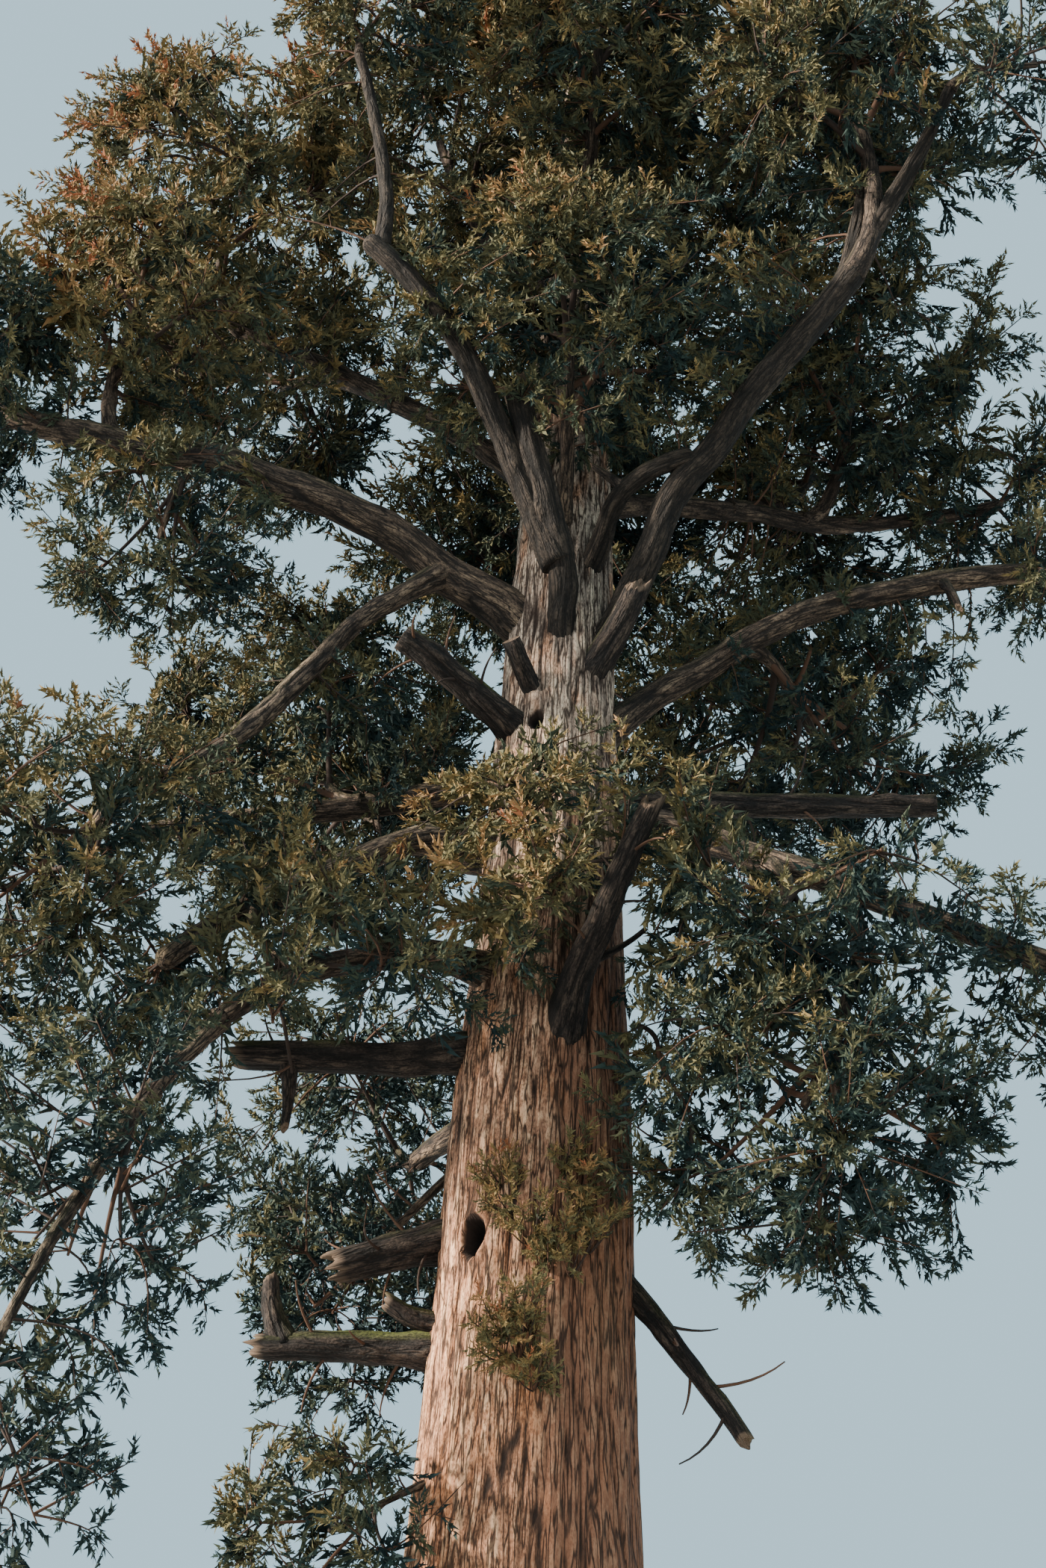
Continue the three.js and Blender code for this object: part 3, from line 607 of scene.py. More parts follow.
class Wiring:
    """Adds nodes to a node tree and joins them up."""

    def __init__(self, tree: bpy.types.NodeTree) -> None:
        """Starts on an empty tree."""
        self.tree = tree
        self.tree.nodes.clear()

    def add(self, kind: str, settings: Optional[dict] = None, **inputs: object) -> bpy.types.Node:
        """Adds one node.

        Args:
            kind: The node's type.
            settings: Its properties, by name.
            inputs: Its inputs by name, spaces written as _, or as i and their number. Each is
                a value or the output socket that feeds it.

        Returns:
            The node.
        """
        node = self.tree.nodes.new(kind)
        for key, value in (settings or {}).items():
            setattr(node, key, value)
        for key, value in inputs.items():
            numbered = key[0] == "i" and key[1:].isdigit()
            socket = node.inputs[int(key[1:])] if numbered else node.inputs[key.replace("_", " ")]
            if isinstance(value, Socket):
                self.tree.links.new(value, socket)
            else:
                socket.default_value = value
        return node

    def attribute(self, name: str, kind: str = "Fac") -> Socket:
        """Returns an output of a shader attribute node."""
        return self.add("ShaderNodeAttribute", {"attribute_name": name}).outputs[kind]

    def mix(self, share: object, first: object, second: object) -> Socket:
        """Returns the mix of two colours or their sockets, by the share of the second."""
        node = self.add("ShaderNodeMix", {"data_type": "RGBA"}, i0=share, i6=first, i7=second)
        return node.outputs[2]

    def ramp(self, value: object, low: float, high: float, start: float = 0.0,
             end: float = 1.0) -> Socket:
        """Returns a value's smooth mapping from the range low-high to start-end."""
        node = self.add("ShaderNodeMapRange", {"interpolation_type": "SMOOTHSTEP"},
                        i0=value, i1=low, i2=high, i3=start, i4=end)
        return node.outputs[0]

    def sum(self, operation: str, first: object, second: object) -> Socket:
        """Returns the answer of one of Blender's sums on two values or their sockets."""
        return self.add("ShaderNodeMath", {"operation": operation}, i0=first, i1=second).outputs[0]


CODE_KNEE = 0.04045
CODE_SLOPE = 12.92
CODE_OFFSET = 0.055
CODE_POWER = 2.4


def colour(code: str) -> tuple[float, float, float, float]:
    """Turns a six-digit colour code into the linear colour that a shader takes.

    Args:
        code: Red, green and blue, two hexadecimal digits each.

    Returns:
        Red, green, blue and a full alpha.
    """
    parts = [int(code[k:k + 2], 16) / 255 for k in (0, 2, 4)]
    red, green, blue = (part / CODE_SLOPE if part <= CODE_KNEE
                        else ((part + CODE_OFFSET) / (1 + CODE_OFFSET)) ** CODE_POWER
                        for part in parts)
    return red, green, blue, 1.0


# Painted shade: near black inside the knot holes.
HOLLOW_SHADE_COLOUR = (0.002, 0.0016, 0.0012, 1.0)
# Painted shade: the red brown of the low trunk's side turned away from the key light.
PAINTED_SHADE_BARK = "6b4735"


class BarkFibre:
    """The shader group of every bark: furrow, fibre, crest, stain, painted shade, moss and wood.

    A size is across and along the grain, in fibres, and the noise's detail. A band is the range
    that is read, then what its ends become where that isn't 0 and 1.
    """

    inputs = (("Grain", "Vector"), ("Ridge", "Float"), ("Moss", "Float"), ("Wood", "Float"),
              ("Lee", "Float"), ("Lee Colour", "Color"), ("Furrow Colour", "Color"),
              ("Bark Colour", "Color"), ("Crest Colour", "Color"), ("Stain Colour", "Color"),
              ("Moss Colour", "Color"), ("Wood Colour", "Color"), ("Fibre Width", "Float"),
              ("Fibre Length", "Float"))
    outputs = (("Colour", "Color"), ("Roughness", "Float"), ("Height", "Float"))
    strand_size, grit_size = (2.2, 1.6, 1.0), (0.7, 0.12, 3.0)
    flake_size, patch_size = (3.4, 0.5, 3.0), (12.0, 2.6, 2.0)
    pattern_roughness = 0.6
    crack_band, gully_band = (0.008, 0.07, 0.9, 0.0), (0.0, 0.4, 1.0, 0.0)
    ridge_crest_band, flake_crest_band = (0.4, 0.9), (0.4, 0.58)
    stain_band, lee_band = (0.5, 0.68, 0.0, 0.55), (0.0, 1.0, 0.0, 0.8)
    dark_grit_band, pale_grit_band = (0.36, 0.52, 0.6, 0.0), (0.52, 0.68, 0.0, 0.35)
    hollow_band, moss_band = (-0.9, 0.0, 1.0, 0.0), (0.34, 0.6, 0.25, 1.0)
    roughness_band = (0.2, 0.8, 0.97, 0.8)
    grit_height, flake_height, dark_height = 0.55, 0.6, 0.5

    def __init__(self) -> None:
        """Builds the group once."""
        self.group = bpy.data.node_groups.new("BarkFibre", "ShaderNodeTree")
        for way, sockets in (("INPUT", self.inputs), ("OUTPUT", self.outputs)):
            for name, kind in sockets:
                self.group.interface.new_socket(name, in_out=way, socket_type="NodeSocket" + kind)
        self.wire(Wiring(self.group))

    def wire(self, work: Wiring) -> None:
        """Joins up the group's nodes.

        Args:
            work: The wiring of the group's tree.
        """
        given = work.add("NodeGroupInput").outputs
        width, length = given["Fibre Width"], given["Fibre Length"]

        def pattern(across: float, along: float, detail: float) -> Socket:
            """Makes noise drawn out along the grain.

            Args:
                across: Its size across the grain, in fibre widths.
                along: Its size along the grain, in fibre lengths.
                detail: How many finer layers it has.

            Returns:
                The noise's socket.
            """
            cell = work.add("ShaderNodeCombineXYZ", i0=work.sum("MULTIPLY", width, across),
                            i1=work.sum("MULTIPLY", width, across),
                            i2=work.sum("MULTIPLY", length, along))
            spot = work.add("ShaderNodeVectorMath", {"operation": "DIVIDE"}, i0=given["Grain"],
                            i1=cell.outputs[0]).outputs[0]
            return work.add("ShaderNodeTexNoise", Vector=spot, Scale=1.0, Detail=detail,
                            Roughness=self.pattern_roughness).outputs["Fac"]

        strand, grit = pattern(*self.strand_size), pattern(*self.grit_size)
        flake, patch = pattern(*self.flake_size), pattern(*self.patch_size)
        crack = work.sum("ABSOLUTE", work.sum("SUBTRACT", strand, 0.5), 0.0)
        crack = work.ramp(crack, *self.crack_band)
        gully = work.ramp(given["Ridge"], *self.gully_band)
        dark = work.sum("MAXIMUM", gully, crack)
        crest = work.sum("MULTIPLY", work.ramp(given["Ridge"], *self.ridge_crest_band),
                         work.ramp(flake, *self.flake_crest_band))
        body = work.mix(crest, given["Bark Colour"], given["Crest Colour"])
        body = work.mix(work.ramp(patch, *self.stain_band), body, given["Stain Colour"])
        body = work.mix(work.ramp(grit, *self.dark_grit_band), body, given["Furrow Colour"])
        body = work.mix(work.ramp(grit, *self.pale_grit_band), body, given["Crest Colour"])
        # Painted shade on the low trunk's side away from the key light.
        body = work.mix(work.ramp(given["Lee"], *self.lee_band), body, given["Lee Colour"])
        body = work.mix(dark, body, given["Furrow Colour"])
        # Painted shade inside the knot holes, where the ridge falls below 0.
        body = work.mix(work.ramp(given["Ridge"], *self.hollow_band), body, HOLLOW_SHADE_COLOUR)
        body = work.mix(given["Wood"], body, given["Wood Colour"])
        mossy = work.sum("MULTIPLY", given["Moss"], work.ramp(grit, *self.moss_band))
        body = work.mix(mossy, body, given["Moss Colour"])
        rough = work.ramp(grit, *self.roughness_band)
        height = work.sum("ADD", work.sum("MULTIPLY", grit, self.grit_height),
                          work.sum("MULTIPLY", flake, self.flake_height))
        height = work.sum("SUBTRACT", height, work.sum("MULTIPLY", dark, self.dark_height))
        work.add("NodeGroupOutput", Colour=body, Roughness=rough, Height=height)


@dataclass(frozen=True)
class BarkFinish:
    """One bark: its colours low and high on the tree, and the size of its fibres."""

    name: str
    furrow: str
    bark: str
    crest: str
    stain: str
    moss: str
    wood: str
    high_bark: str
    high_crest: str
    fibre_width: float
    fibre_length: float
    bump: float
    high_from: float = 9.0
    high_to: float = 22.0
    bump_distance: float = 0.03
    gloss: float = 0.25

    def material(self, fibre: BarkFibre) -> Material:
        """Builds the material.

        Args:
            fibre: The shader group that all barks share.

        Returns:
            The material, with Principled BSDF fed by the group.
        """
        material = bpy.data.materials.new(self.name)
        material.use_nodes = True
        work = Wiring(material.node_tree)
        place = work.add("ShaderNodeTexCoord").outputs["Object"]
        height = work.add("ShaderNodeSeparateXYZ", i0=place).outputs["Z"]
        high = work.ramp(height, self.high_from, self.high_to)
        bark = work.mix(high, colour(self.bark), colour(self.high_bark))
        crest = work.mix(high, colour(self.crest), colour(self.high_crest))
        group = work.add("ShaderNodeGroup", {"node_tree": fibre.group},
                         Grain=work.attribute("grain", "Vector"), Ridge=work.attribute("ridge"),
                         Moss=work.attribute("moss"), Wood=work.attribute("wood"),
                         # Painted shade: the low trunk's side away from the key light turns red
                         # brown.
                         Lee=work.attribute("lee"), Lee_Colour=colour(PAINTED_SHADE_BARK),
                         Furrow_Colour=colour(self.furrow), Bark_Colour=bark,
                         Crest_Colour=crest, Stain_Colour=colour(self.stain),
                         Moss_Colour=colour(self.moss), Wood_Colour=colour(self.wood),
                         Fibre_Width=self.fibre_width, Fibre_Length=self.fibre_length)
        bump = work.add("ShaderNodeBump", Strength=self.bump, Distance=self.bump_distance,
                        Height=group.outputs["Height"])
        shader = work.add("ShaderNodeBsdfPrincipled", Base_Color=group.outputs["Colour"],
                          Roughness=group.outputs["Roughness"], Normal=bump.outputs["Normal"])
        shader.inputs["Specular IOR Level"].default_value = self.gloss
        work.add("ShaderNodeOutputMaterial", Surface=shader.outputs[0])
        return material


@dataclass(frozen=True)
class PlainTint:
    """A leaf or twig colour: dealt out by spray, so each tint is one plain colour."""

    name: str
    code: str
    roughness: float = 0.75
    gloss: float = 0.15

    def material(self) -> Material:
        """Builds the material.

        Returns:
            The material, a Principled BSDF of one colour.
        """
        material = bpy.data.materials.new(self.name)
        material.use_nodes = True
        work = Wiring(material.node_tree)
        shader = work.add("ShaderNodeBsdfPrincipled", Base_Color=colour(self.code),
                          Roughness=self.roughness)
        shader.inputs["Specular IOR Level"].default_value = self.gloss
        work.add("ShaderNodeOutputMaterial", Surface=shader.outputs[0])
        return material


LEAF_TINTS = tuple(PlainTint(name, code) for name, code in (
    ("leaf_shade_teal", "1b2a2b"), ("leaf_deep_green", "25332f"), ("leaf_mid_green", "373e31"),
    ("leaf_olive", "494833"), ("leaf_gold_olive", "5c563a"), ("leaf_ochre", "73623f"),
    ("leaf_tan", "846745"), ("leaf_orange_brown", "88563a")))
TWIG_TINTS = (
    PlainTint("twig_dark", "2f2520", 0.8, 0.2),
    PlainTint("twig_red_brown", "4a3529", 0.8, 0.2),
)

TRUNK_BARK = BarkFinish("trunk_bark_relief", "241812", "9b6c51", "dcae89", "a0663f", "5b5a34",
                        "b59a7c", "8a7a6e", "c8b5a0", 0.026, 0.42, 1.0)
# Between 20.5 and 25 m the limb colours darken: painted shade beneath the crown.
LIMB_BARK = BarkFinish("limb_bark_relief", "15110f", "453930", "7a6755", "30271f", "5d6036",
                       "5f4e40", "3a3029", "6a5a4c", 0.026, 0.3, 0.9, 20.5, 25.0)
SHADED_BARK = BarkFinish("shaded_bark_relief", "100d0b", "29221d", "4a3f36", "241d18", "4f522d",
                         "5f4e40", "251f1a", "42382f", 0.026, 0.3, 0.9)
DEAD_BARK = BarkFinish("dead_wood_relief", "0e0c0b", "241d1a", "4b3f36", "231c18", "565c2c",
                       "5a4a3d", "29211d", "52463c", 0.026, 0.3, 0.9)


def dress(piece: Piece, nodes: Iterable[str]) -> None:
    """Counts a piece's triangles, hangs it on the root body and hides the nodes it stands for.

    Args:
        piece: The piece.
        nodes: The frame's nodes that it replaces.
    """
    triangles = sum(len(face.vertices) - 2 for face in piece.data.polygons)
    log.info("%s: %d triangles", piece.name, triangles)
    if triangles > PIECE_LIMIT:
        log.warning("%s has too many triangles", piece.name)
    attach(piece, "root")
    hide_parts(*nodes)


@dataclass(frozen=True)
class KnotHole:
    """A hole where a branch was lost: height, bearing in degrees, and its half sizes."""

    height: float
    bearing: float
    wide: float
    tall: float
    deep: float


@dataclass
class Trunk:
    """The trunk: a leaning taper with a lobed flare, under furrowed fibrous bark."""

    lean = math.radians(1.3)
    tip: float = 37.0
    taper_radius: float = 1.54
    taper_height: float = 37.6
    flare_radius: float = 0.43
    flare_reach: float = 0.95
    lobes: tuple[tuple[int, float, float], ...] = ((5, 0.1, 35), (9, 0.05, 110))
    lobe_reach: float = 1.5
    sides: int = 256
    rings: int = 384
    fine_to: float = 20.5
    fine_share: float = 0.74
    relief: Relief = Relief(0.055, 0.1, 2.4, 4.0, 0.4)
    short_from: float = 13.0
    short_rate: float = 1.1
    swell: float = 0.035
    relief_seed: int = 11
    swell_cell: Triple = (1.1, 1.1, 3.2)
    swell_seed: int = 31
    knot_edge: int = 6
    knot_shade_reach: float = 1.05
    lip_height: float = 0.03
    lip_at: float = 1.3
    lip_width: float = 0.3
    moss_cell: Triple = (0.9, 0.9, 2.0)
    moss_seed: int = 53
    moss_from: float = 0.62
    moss_fade: float = 6.0
    # Painted shade on the low trunk: its middle bearing, the angles off it where it fades, and the
    # heights where it fades.
    lee_bearing: float = 12.0
    lee_edge: tuple[float, float] = (84.0, 112.0)
    lee_top: tuple[float, float] = (14.0, 17.5)
    knots: tuple[KnotHole, ...] = (
        KnotHole(18.1, -109.7, 0.09, 0.12, 0.16),
        KnotHole(11.08, -129, 0.14, 0.21, 0.3),
        KnotHole(15.2, 40, 0.14, 0.2, 0.2),
        KnotHole(9.4, 118, 0.16, 0.25, 0.24),
        KnotHole(6.1, 205, 0.13, 0.2, 0.2),
        KnotHole(5.2, -20, 0.15, 0.22, 0.22),
    )

    def radius(self, height: Numbers) -> Array:
        """Returns the plain radius at some heights."""
        flare = self.flare_radius * np.exp(-np.asarray(height) / self.flare_reach)
        return self.taper_radius * (1 - np.asarray(height) / self.taper_height) + flare

    def lobed(self, height: Array, angle: Array) -> Array:
        """Returns what the lobes of the foot make of the radius, as a factor on it."""
        swell = np.exp(-height / self.lobe_reach)
        return 1 + swell * sum(depth * np.cos(-count * angle + math.radians(turn))
                               for count, depth, turn in self.lobes)

    def weather(self, mesh: bpy.types.Mesh) -> None:
        """Marks the low trunk's side turned away from the key light, painted a darker red brown as
        shade.

        Args:
            mesh: The bark's mesh; it gets a float attribute of painted shade, from 0 to 1.
        """
        spots = np.empty(len(mesh.vertices) * 3)
        mesh.vertices.foreach_get("co", spots)
        spots = spots.reshape(-1, 3)
        off = spots - lean_axis(spots[:, 2])
        turn = np.degrees(np.arctan2(off[:, 1], off[:, 0])) - self.lee_bearing
        around = np.abs((turn + 180) % 360 - 180)
        lee = np.interp(around, self.lee_edge, (1, 0))
        lee = lee * np.interp(spots[:, 2], self.lee_top, (1, 0))
        mark(mesh, "lee", "FLOAT", lee)

    def build(self, finish: Material) -> Piece:
        """Builds the trunk's bark.

        Args:
            finish: Its material.

        Returns:
            The dressed piece.
        """
        height = np.interp(np.linspace(0, 1, self.rings), (0, self.fine_share, 1),
                           (0, self.fine_to, self.tip))[:, None] * np.ones(self.sides)
        angle = np.linspace(0, 2 * math.pi, self.sides, endpoint=False) * np.ones_like(height)
        radius = self.radius(height) * self.lobed(height, angle)
        outward = np.stack((np.cos(angle), np.sin(angle), angle * 0), axis=-1)
        grain = outward * radius[..., None] + height[..., None] * UP
        shorter = np.clip(height - self.short_from, 0, None) * self.short_rate
        stand, ridge = self.relief.shape(grain + shorter[..., None] * UP, self.relief_seed,
                                         radius)
        slow = value_noise(grain / self.swell_cell, self.swell_seed) - 0.5
        stand = stand + slow * self.swell * radius * 2
        for knot in self.knots:
            away = (angle - math.radians(knot.bearing) + math.pi) % (2 * math.pi) - math.pi
            far = np.hypot(away * radius / knot.wide, (height - knot.height) / knot.tall)
            lip = np.exp(-((far - self.lip_at) / self.lip_width) ** 2)
            stand = stand - knot.deep * np.exp(-far ** self.knot_edge) + self.lip_height * lip
            # Knot holes get a ridge below 0, which the bark paints near black as shade.
            hole_shade = np.exp(-(far / self.knot_shade_reach) ** self.knot_edge)
            ridge = ridge * (1 - hole_shade) - hole_shade
        rings = lean_axis(height) + outward * (radius + stand)[..., None]
        patches = value_noise(grain / self.moss_cell, self.moss_seed) - self.moss_from
        moss = np.clip(patches, 0, 1) * 2 * np.exp(-height / self.moss_fade)
        skin = Skin.wrap(rings, grain, ridge, moss, np.zeros_like(ridge))
        piece = skin.piece("trunk_bark_skin", finish)
        self.weather(piece.data)
        dress(piece, ["trunk"])
        return piece


END_RINGS = {
    End.TAPERED: ((0.86, 0.6, 0.25), (0.35, 0.6, 0.72)),
    End.SAWN: ((0.97, 0.94, 0.6, 0.25), (0.02, 0.02, 0.0, -0.02)),
    End.BROKEN: ((0.95, 0.8, 0.5, 0.2), (0.1, 0.35, 0.5, 0.4)),
}


@dataclass
class Limb:
    """One bough or dead limb: its path from the frame's rule, and its bark in relief.

    END_RINGS has what closes its far end: factors on the radius, and how far each ring stands
    beyond the end, in radii.
    """

    size: LimbSize
    way: Way
    buried: float
    seed: int
    collar: float = 0.22
    collar_reach: float = 1.6
    sides: int = 56
    ring_step: float = 0.085
    relief: Relief = Relief(0.028, 0.1, 0.55, 3.0, 0.6)
    fewest_rings: int = 10
    seed_stride: float = 3.7
    wander: float = 0.3
    wander_step: float = 0.9
    moss_slope: Pair = (0.1, 0.6)
    moss_patch: Pair = (0.35, 0.3)
    moss_cell: Triple = (0.25, 0.25, 0.5)
    wood_ridge: float = 0.9
    knots: int = 5
    knot_span: Pair = (0.2, 0.75)
    knot_long: float = 1.4
    knot_wide: float = 0.55
    knot_lip: float = 0.2
    knot_pit: Pair = (0.18, 0.4)
    swell: float = 0.2
    swell_cell: Triple = (0.5, 0.5, 0.7)
    swell_seed: int = 9
    splinter_cell: Triple = (0.05, 0.05, 9.0)
    splinter_seed: int = 2
    splinter_reach: float = 0.06
    splinter_long: float = 1.8
    splinter_slant: float = 0.8
    splinter_share: Pair = (0.4, 0.6)

    def radius(self, part: Numbers) -> Array:
        """Gives the plain radius with the collar at its root.

        Args:
            part: Parts of the limb.

        Returns:
            The radii in metres.
        """
        part = np.asarray(part, dtype=float)
        root, end = self.size.radius
        bare = np.maximum(0, part * self.size.length - self.buried)
        return root + (end - root) * part + root * self.collar * np.exp(
            -bare / (root * self.collar_reach))

    def skin(self) -> Skin:
        """Builds the bark of the limb.

        Returns:
            Its closed skin.
        """
        count = max(self.fewest_rings, int(self.size.length / self.ring_step))
        parts = np.linspace(0, 1, count)
        heading, side, over = self.way.carried_frames(parts)
        factors, beyond = (np.array(row) for row in END_RINGS[self.size.end])
        plain = self.radius(parts)
        centres = self.way.at(parts) + self.wandering(parts, plain, side, over)
        tail = centres[-1] + heading[-1] * (beyond * plain[-1])[:, None]
        centres = np.concatenate((centres, tail))
        plain = np.concatenate((plain, plain[-1] * factors))
        side = np.concatenate((side, np.repeat(side[-1:], len(factors), axis=0)))
        over = np.concatenate((over, np.repeat(over[-1:], len(factors), axis=0)))
        wood = np.concatenate((np.zeros(count), np.ones(len(factors))))
        if self.size.end is End.TAPERED:
            wood[:] = 0
        angle = np.linspace(0, 2 * math.pi, self.sides, endpoint=False)
        outward = np.cos(angle)[:, None] * side[:, None] + np.sin(angle)[:, None] * over[:, None]
        radius = plain[:, None] * np.ones(self.sides)
        along = np.concatenate((parts * self.size.length, self.size.length + plain[-1] * beyond))
        grain = np.stack((np.cos(angle) * radius, np.sin(angle) * radius,
                          along[:, None] * np.ones(self.sides)), axis=-1)
        stand, ridge = self.relief.shape(grain, self.seed * self.seed_stride, radius)
        slow = value_noise(grain / self.swell_cell, self.seed + self.swell_seed) - 0.5
        stand = stand + self.knotted(grain, radius) + slow * radius * self.swell
        ragged = self.ragged(grain, wood, plain)
        rings = centres[:, None] + outward * (radius + stand)[..., None]
        rings = rings + heading[-1] * ragged[..., None]
        topside = np.clip((outward[..., 2] - self.moss_slope[0]) / self.moss_slope[1], 0, 1)
        patches = value_noise(grain / self.moss_cell, self.seed)
        patchy = np.clip((patches - self.moss_patch[0]) / self.moss_patch[1], 0, 1)
        moss = topside * patchy * self.size.moss
        ridge = np.where(wood[:, None] > 0, self.wood_ridge, ridge)
        return Skin.wrap(rings, grain, ridge, moss, wood[:, None] * np.ones_like(ridge))

    def wandering(self, parts: Array, radius: Array, side: Array, over: Array) -> Array:
        """Makes the limb wander a little off the frame's even curve.

        Args:
            parts: Parts of the limb.
            radius: The radius at each.
            side: The level direction at each.
            over: The other square direction at each.

        Returns:
            Offsets of the centres, none at the root and end.
        """
        steps = parts * self.size.length / self.wander_step
        spots = np.stack((steps, parts * 0, parts * 0), axis=-1)
        hold = np.sin(parts * math.pi) * radius * self.wander * 2
        first = (value_noise(spots, self.seed) - 0.5) * hold
        second = (value_noise(spots, self.seed + 0.5) - 0.5) * hold
        return side * first[:, None] + over * second[:, None]

    def knotted(self, grain: Array, radius: Array) -> Array:
        """Gives the knots and healed scars of the limb.

        Args:
            grain: Grain coordinates.
            radius: The radius at each.

        Returns:
            How far they stand out, in metres.
        """
        stand = np.zeros_like(radius)
        angle = np.arctan2(grain[..., 1], grain[..., 0])
        first, span = self.knot_span
        pit, pit_width = self.knot_pit
        for k in range(self.knots):
            place = self.size.length * (first + span * chance(self.seed, k, Draw.KNOT_PLACE))
            turn = 2 * math.pi * chance(self.seed, k, Draw.KNOT_TURN)
            away = (angle - turn + math.pi) % (2 * math.pi) - math.pi
            along = (grain[..., 2] - place) / self.knot_long
            far = np.hypot(away * radius, along) / (radius * self.knot_wide)
            stand = stand + radius * self.knot_lip * np.exp(-far ** 2) - radius * pit * np.exp(
                -(far / pit_width) ** 2)
        return stand

    def ragged(self, grain: Array, wood: Array, plain: Array) -> Array:
        """Gives the splinters of a broken end.

        Args:
            grain: Grain coordinates.
            wood: 1 on the rings of bare wood.
            plain: The plain radius of each ring.

        Returns:
            How far each corner stands beyond its ring, in metres.
        """
        if self.size.end is not End.BROKEN:
            return np.zeros(grain.shape[:-1])
        teeth = value_noise(grain / self.splinter_cell, self.seed + self.splinter_seed)
        slant = grain[..., 0] / self.size.radius[1]
        near = np.exp(-(self.size.length - grain[..., 2]).clip(0) / self.splinter_reach)
        on_bark, on_wood = self.splinter_share
        return near * (teeth * self.splinter_long + slant * self.splinter_slant) * (
            plain[:, None]) * (on_bark + on_wood * wood[:, None])

    def build(self, finish: Material, slot: Slot) -> Piece:
        """Builds and dresses the limb.

        Args:
            finish: Its material.
            slot: Not used.

        Returns:
            The dressed piece.
        """
        piece = self.skin().piece(self.size.name + "_skin", finish)
        dress(piece, [self.size.stands_for or self.size.name])
        return piece


def limb_way(size: LimbSize, start: Array, steps: int = 24) -> Way:
    """Bends a limb from its root as the frame does.

    Args:
        size: The limb's sizes.
        start: Its root.
        steps: How many even steps it is laid out in.

    Returns:
        Its path.
    """
    part = (np.arange(steps) + 0.5) / steps
    bearing = np.interp(part, np.linspace(0, 1, len(size.bearing)), size.bearing)
    rise = np.interp(part, np.linspace(0, 1, len(size.rise)), size.rise)
    moves = heading_of(bearing, rise) * size.length / steps
    return Way(start + np.concatenate((np.zeros((1, 3)), np.cumsum(moves, axis=0))))


def place_limbs(trunk: Trunk) -> dict[str, Limb]:
    """Puts every limb where it grows.

    Args:
        trunk: The trunk that carries them.

    Returns:
        The limbs by name.
    """
    placed: dict[str, Limb] = {}
    for seed, size in enumerate(LIMBS + OFFSHOOTS):
        parent = placed.get(size.on)
        start = parent.way.at(size.at) if parent else lean_axis(size.at)
        buried = float(parent.radius(size.at) if parent else trunk.radius(size.at))
        placed[size.name] = Limb(size, limb_way(size, start), buried, seed + 1)
    return placed


STEM_POINTS = 17
STEM_LEAD = 0.28
STEM_SHARE = 0.92
STEM_PER_REACH = 0.055
STEM_TAPER = 0.45


@dataclass
class Mass:
    """One leafy mass, with the stem that carries it."""

    size: MassSize
    stem: Way
    girth: Pair
    seed: int


def place_masses(trunk: Trunk, limbs: dict[str, Limb]) -> list[Mass]:
    """Gives each mass its stem, bent from its bough up to its heart.

    Args:
        trunk: The trunk.
        limbs: The limbs by name.

    Returns:
        The masses in the frame's order.
    """
    masses = []
    for seed, size in enumerate(MASSES):
        parent = limbs.get(size.on)
        foot = parent.way.at(size.at) if parent else lean_axis(size.at)
        heart = np.array(size.heart)
        span = heart - foot
        heading = parent.way.heading(size.at) if parent else unit(span * (1, 1, 0))
        bend = foot + heading * np.linalg.norm(span) * STEM_LEAD
        part = np.linspace(0, 1, STEM_POINTS)[:, None]
        path = foot * (1 - part) ** 2 + bend * 2 * part * (1 - part) + heart * part ** 2
        carrier = float(parent.radius(size.at) if parent else trunk.radius(size.at))
        full = (carrier * STEM_SHARE if size.at == 1
                else min(size.mean_reach() * STEM_PER_REACH, carrier))
        masses.append(Mass(size, Way(path), (full, full * STEM_TAPER), seed + 1))
    return masses


@dataclass
class Rows:
    """Things of one kind as arrays, with a row in each array for each thing."""

    def kept(self, keep: Array) -> Self:
        """Returns only the rows that a mask or index list keeps."""
        return type(self)(*(getattr(self, field.name)[keep] for field in fields(self)))

    @classmethod
    def joined(cls, lots: Iterable[Self]) -> Self:
        """Joins several lots of rows into one."""
        lots = list(lots)
        return cls(*(np.concatenate([getattr(lot, field.name) for lot in lots])
                     for field in fields(cls)))


@dataclass
class Twigs(Rows):
    """Bent twigs: where each starts, bends and ends, its girth and the mass it is in.

    Tone runs from 0 for dark to 1 for gold. Depth is 0 at the skin of the crown, 1 inside it
    and -1 on the tufts of the trunk. One number may stand for all rows.
    """

    root: Array
    bend: Array
    end: Array
    girth: Numbers
    taper: Numbers
    own: Union[int, Array] = 0
    tone: Numbers = 0.0
    depth: Numbers = 0.0

    def __post_init__(self) -> None:
        """Gives every twig its own row of a number that stands for all."""
        for field in fields(self):
            value = getattr(self, field.name)
            if np.ndim(value) == 0:
                setattr(self, field.name, np.full(len(self.root), value))

    def at(self, part: Numbers) -> Array:
        """Returns a place on each twig, at one part for all or one for each."""
        part = np.asarray(part, dtype=float)[..., None]
        return (self.root * (1 - part) ** 2 + self.bend * 2 * part * (1 - part)
                + self.end * part ** 2)

    def heading(self, part: Numbers) -> Array:
        """Returns each twig's direction, at one part for all or one for each."""
        part = np.asarray(part, dtype=float)[..., None]
        return unit((self.bend - self.root) * (1 - part) + (self.end - self.bend) * part
                    + 1e-6 * UP)

    def length(self) -> Array:
        """Returns the rough length of each twig."""
        return (np.linalg.norm(self.bend - self.root, axis=1)
                + np.linalg.norm(self.end - self.bend, axis=1)
                + np.linalg.norm(self.end - self.root, axis=1)) / 2


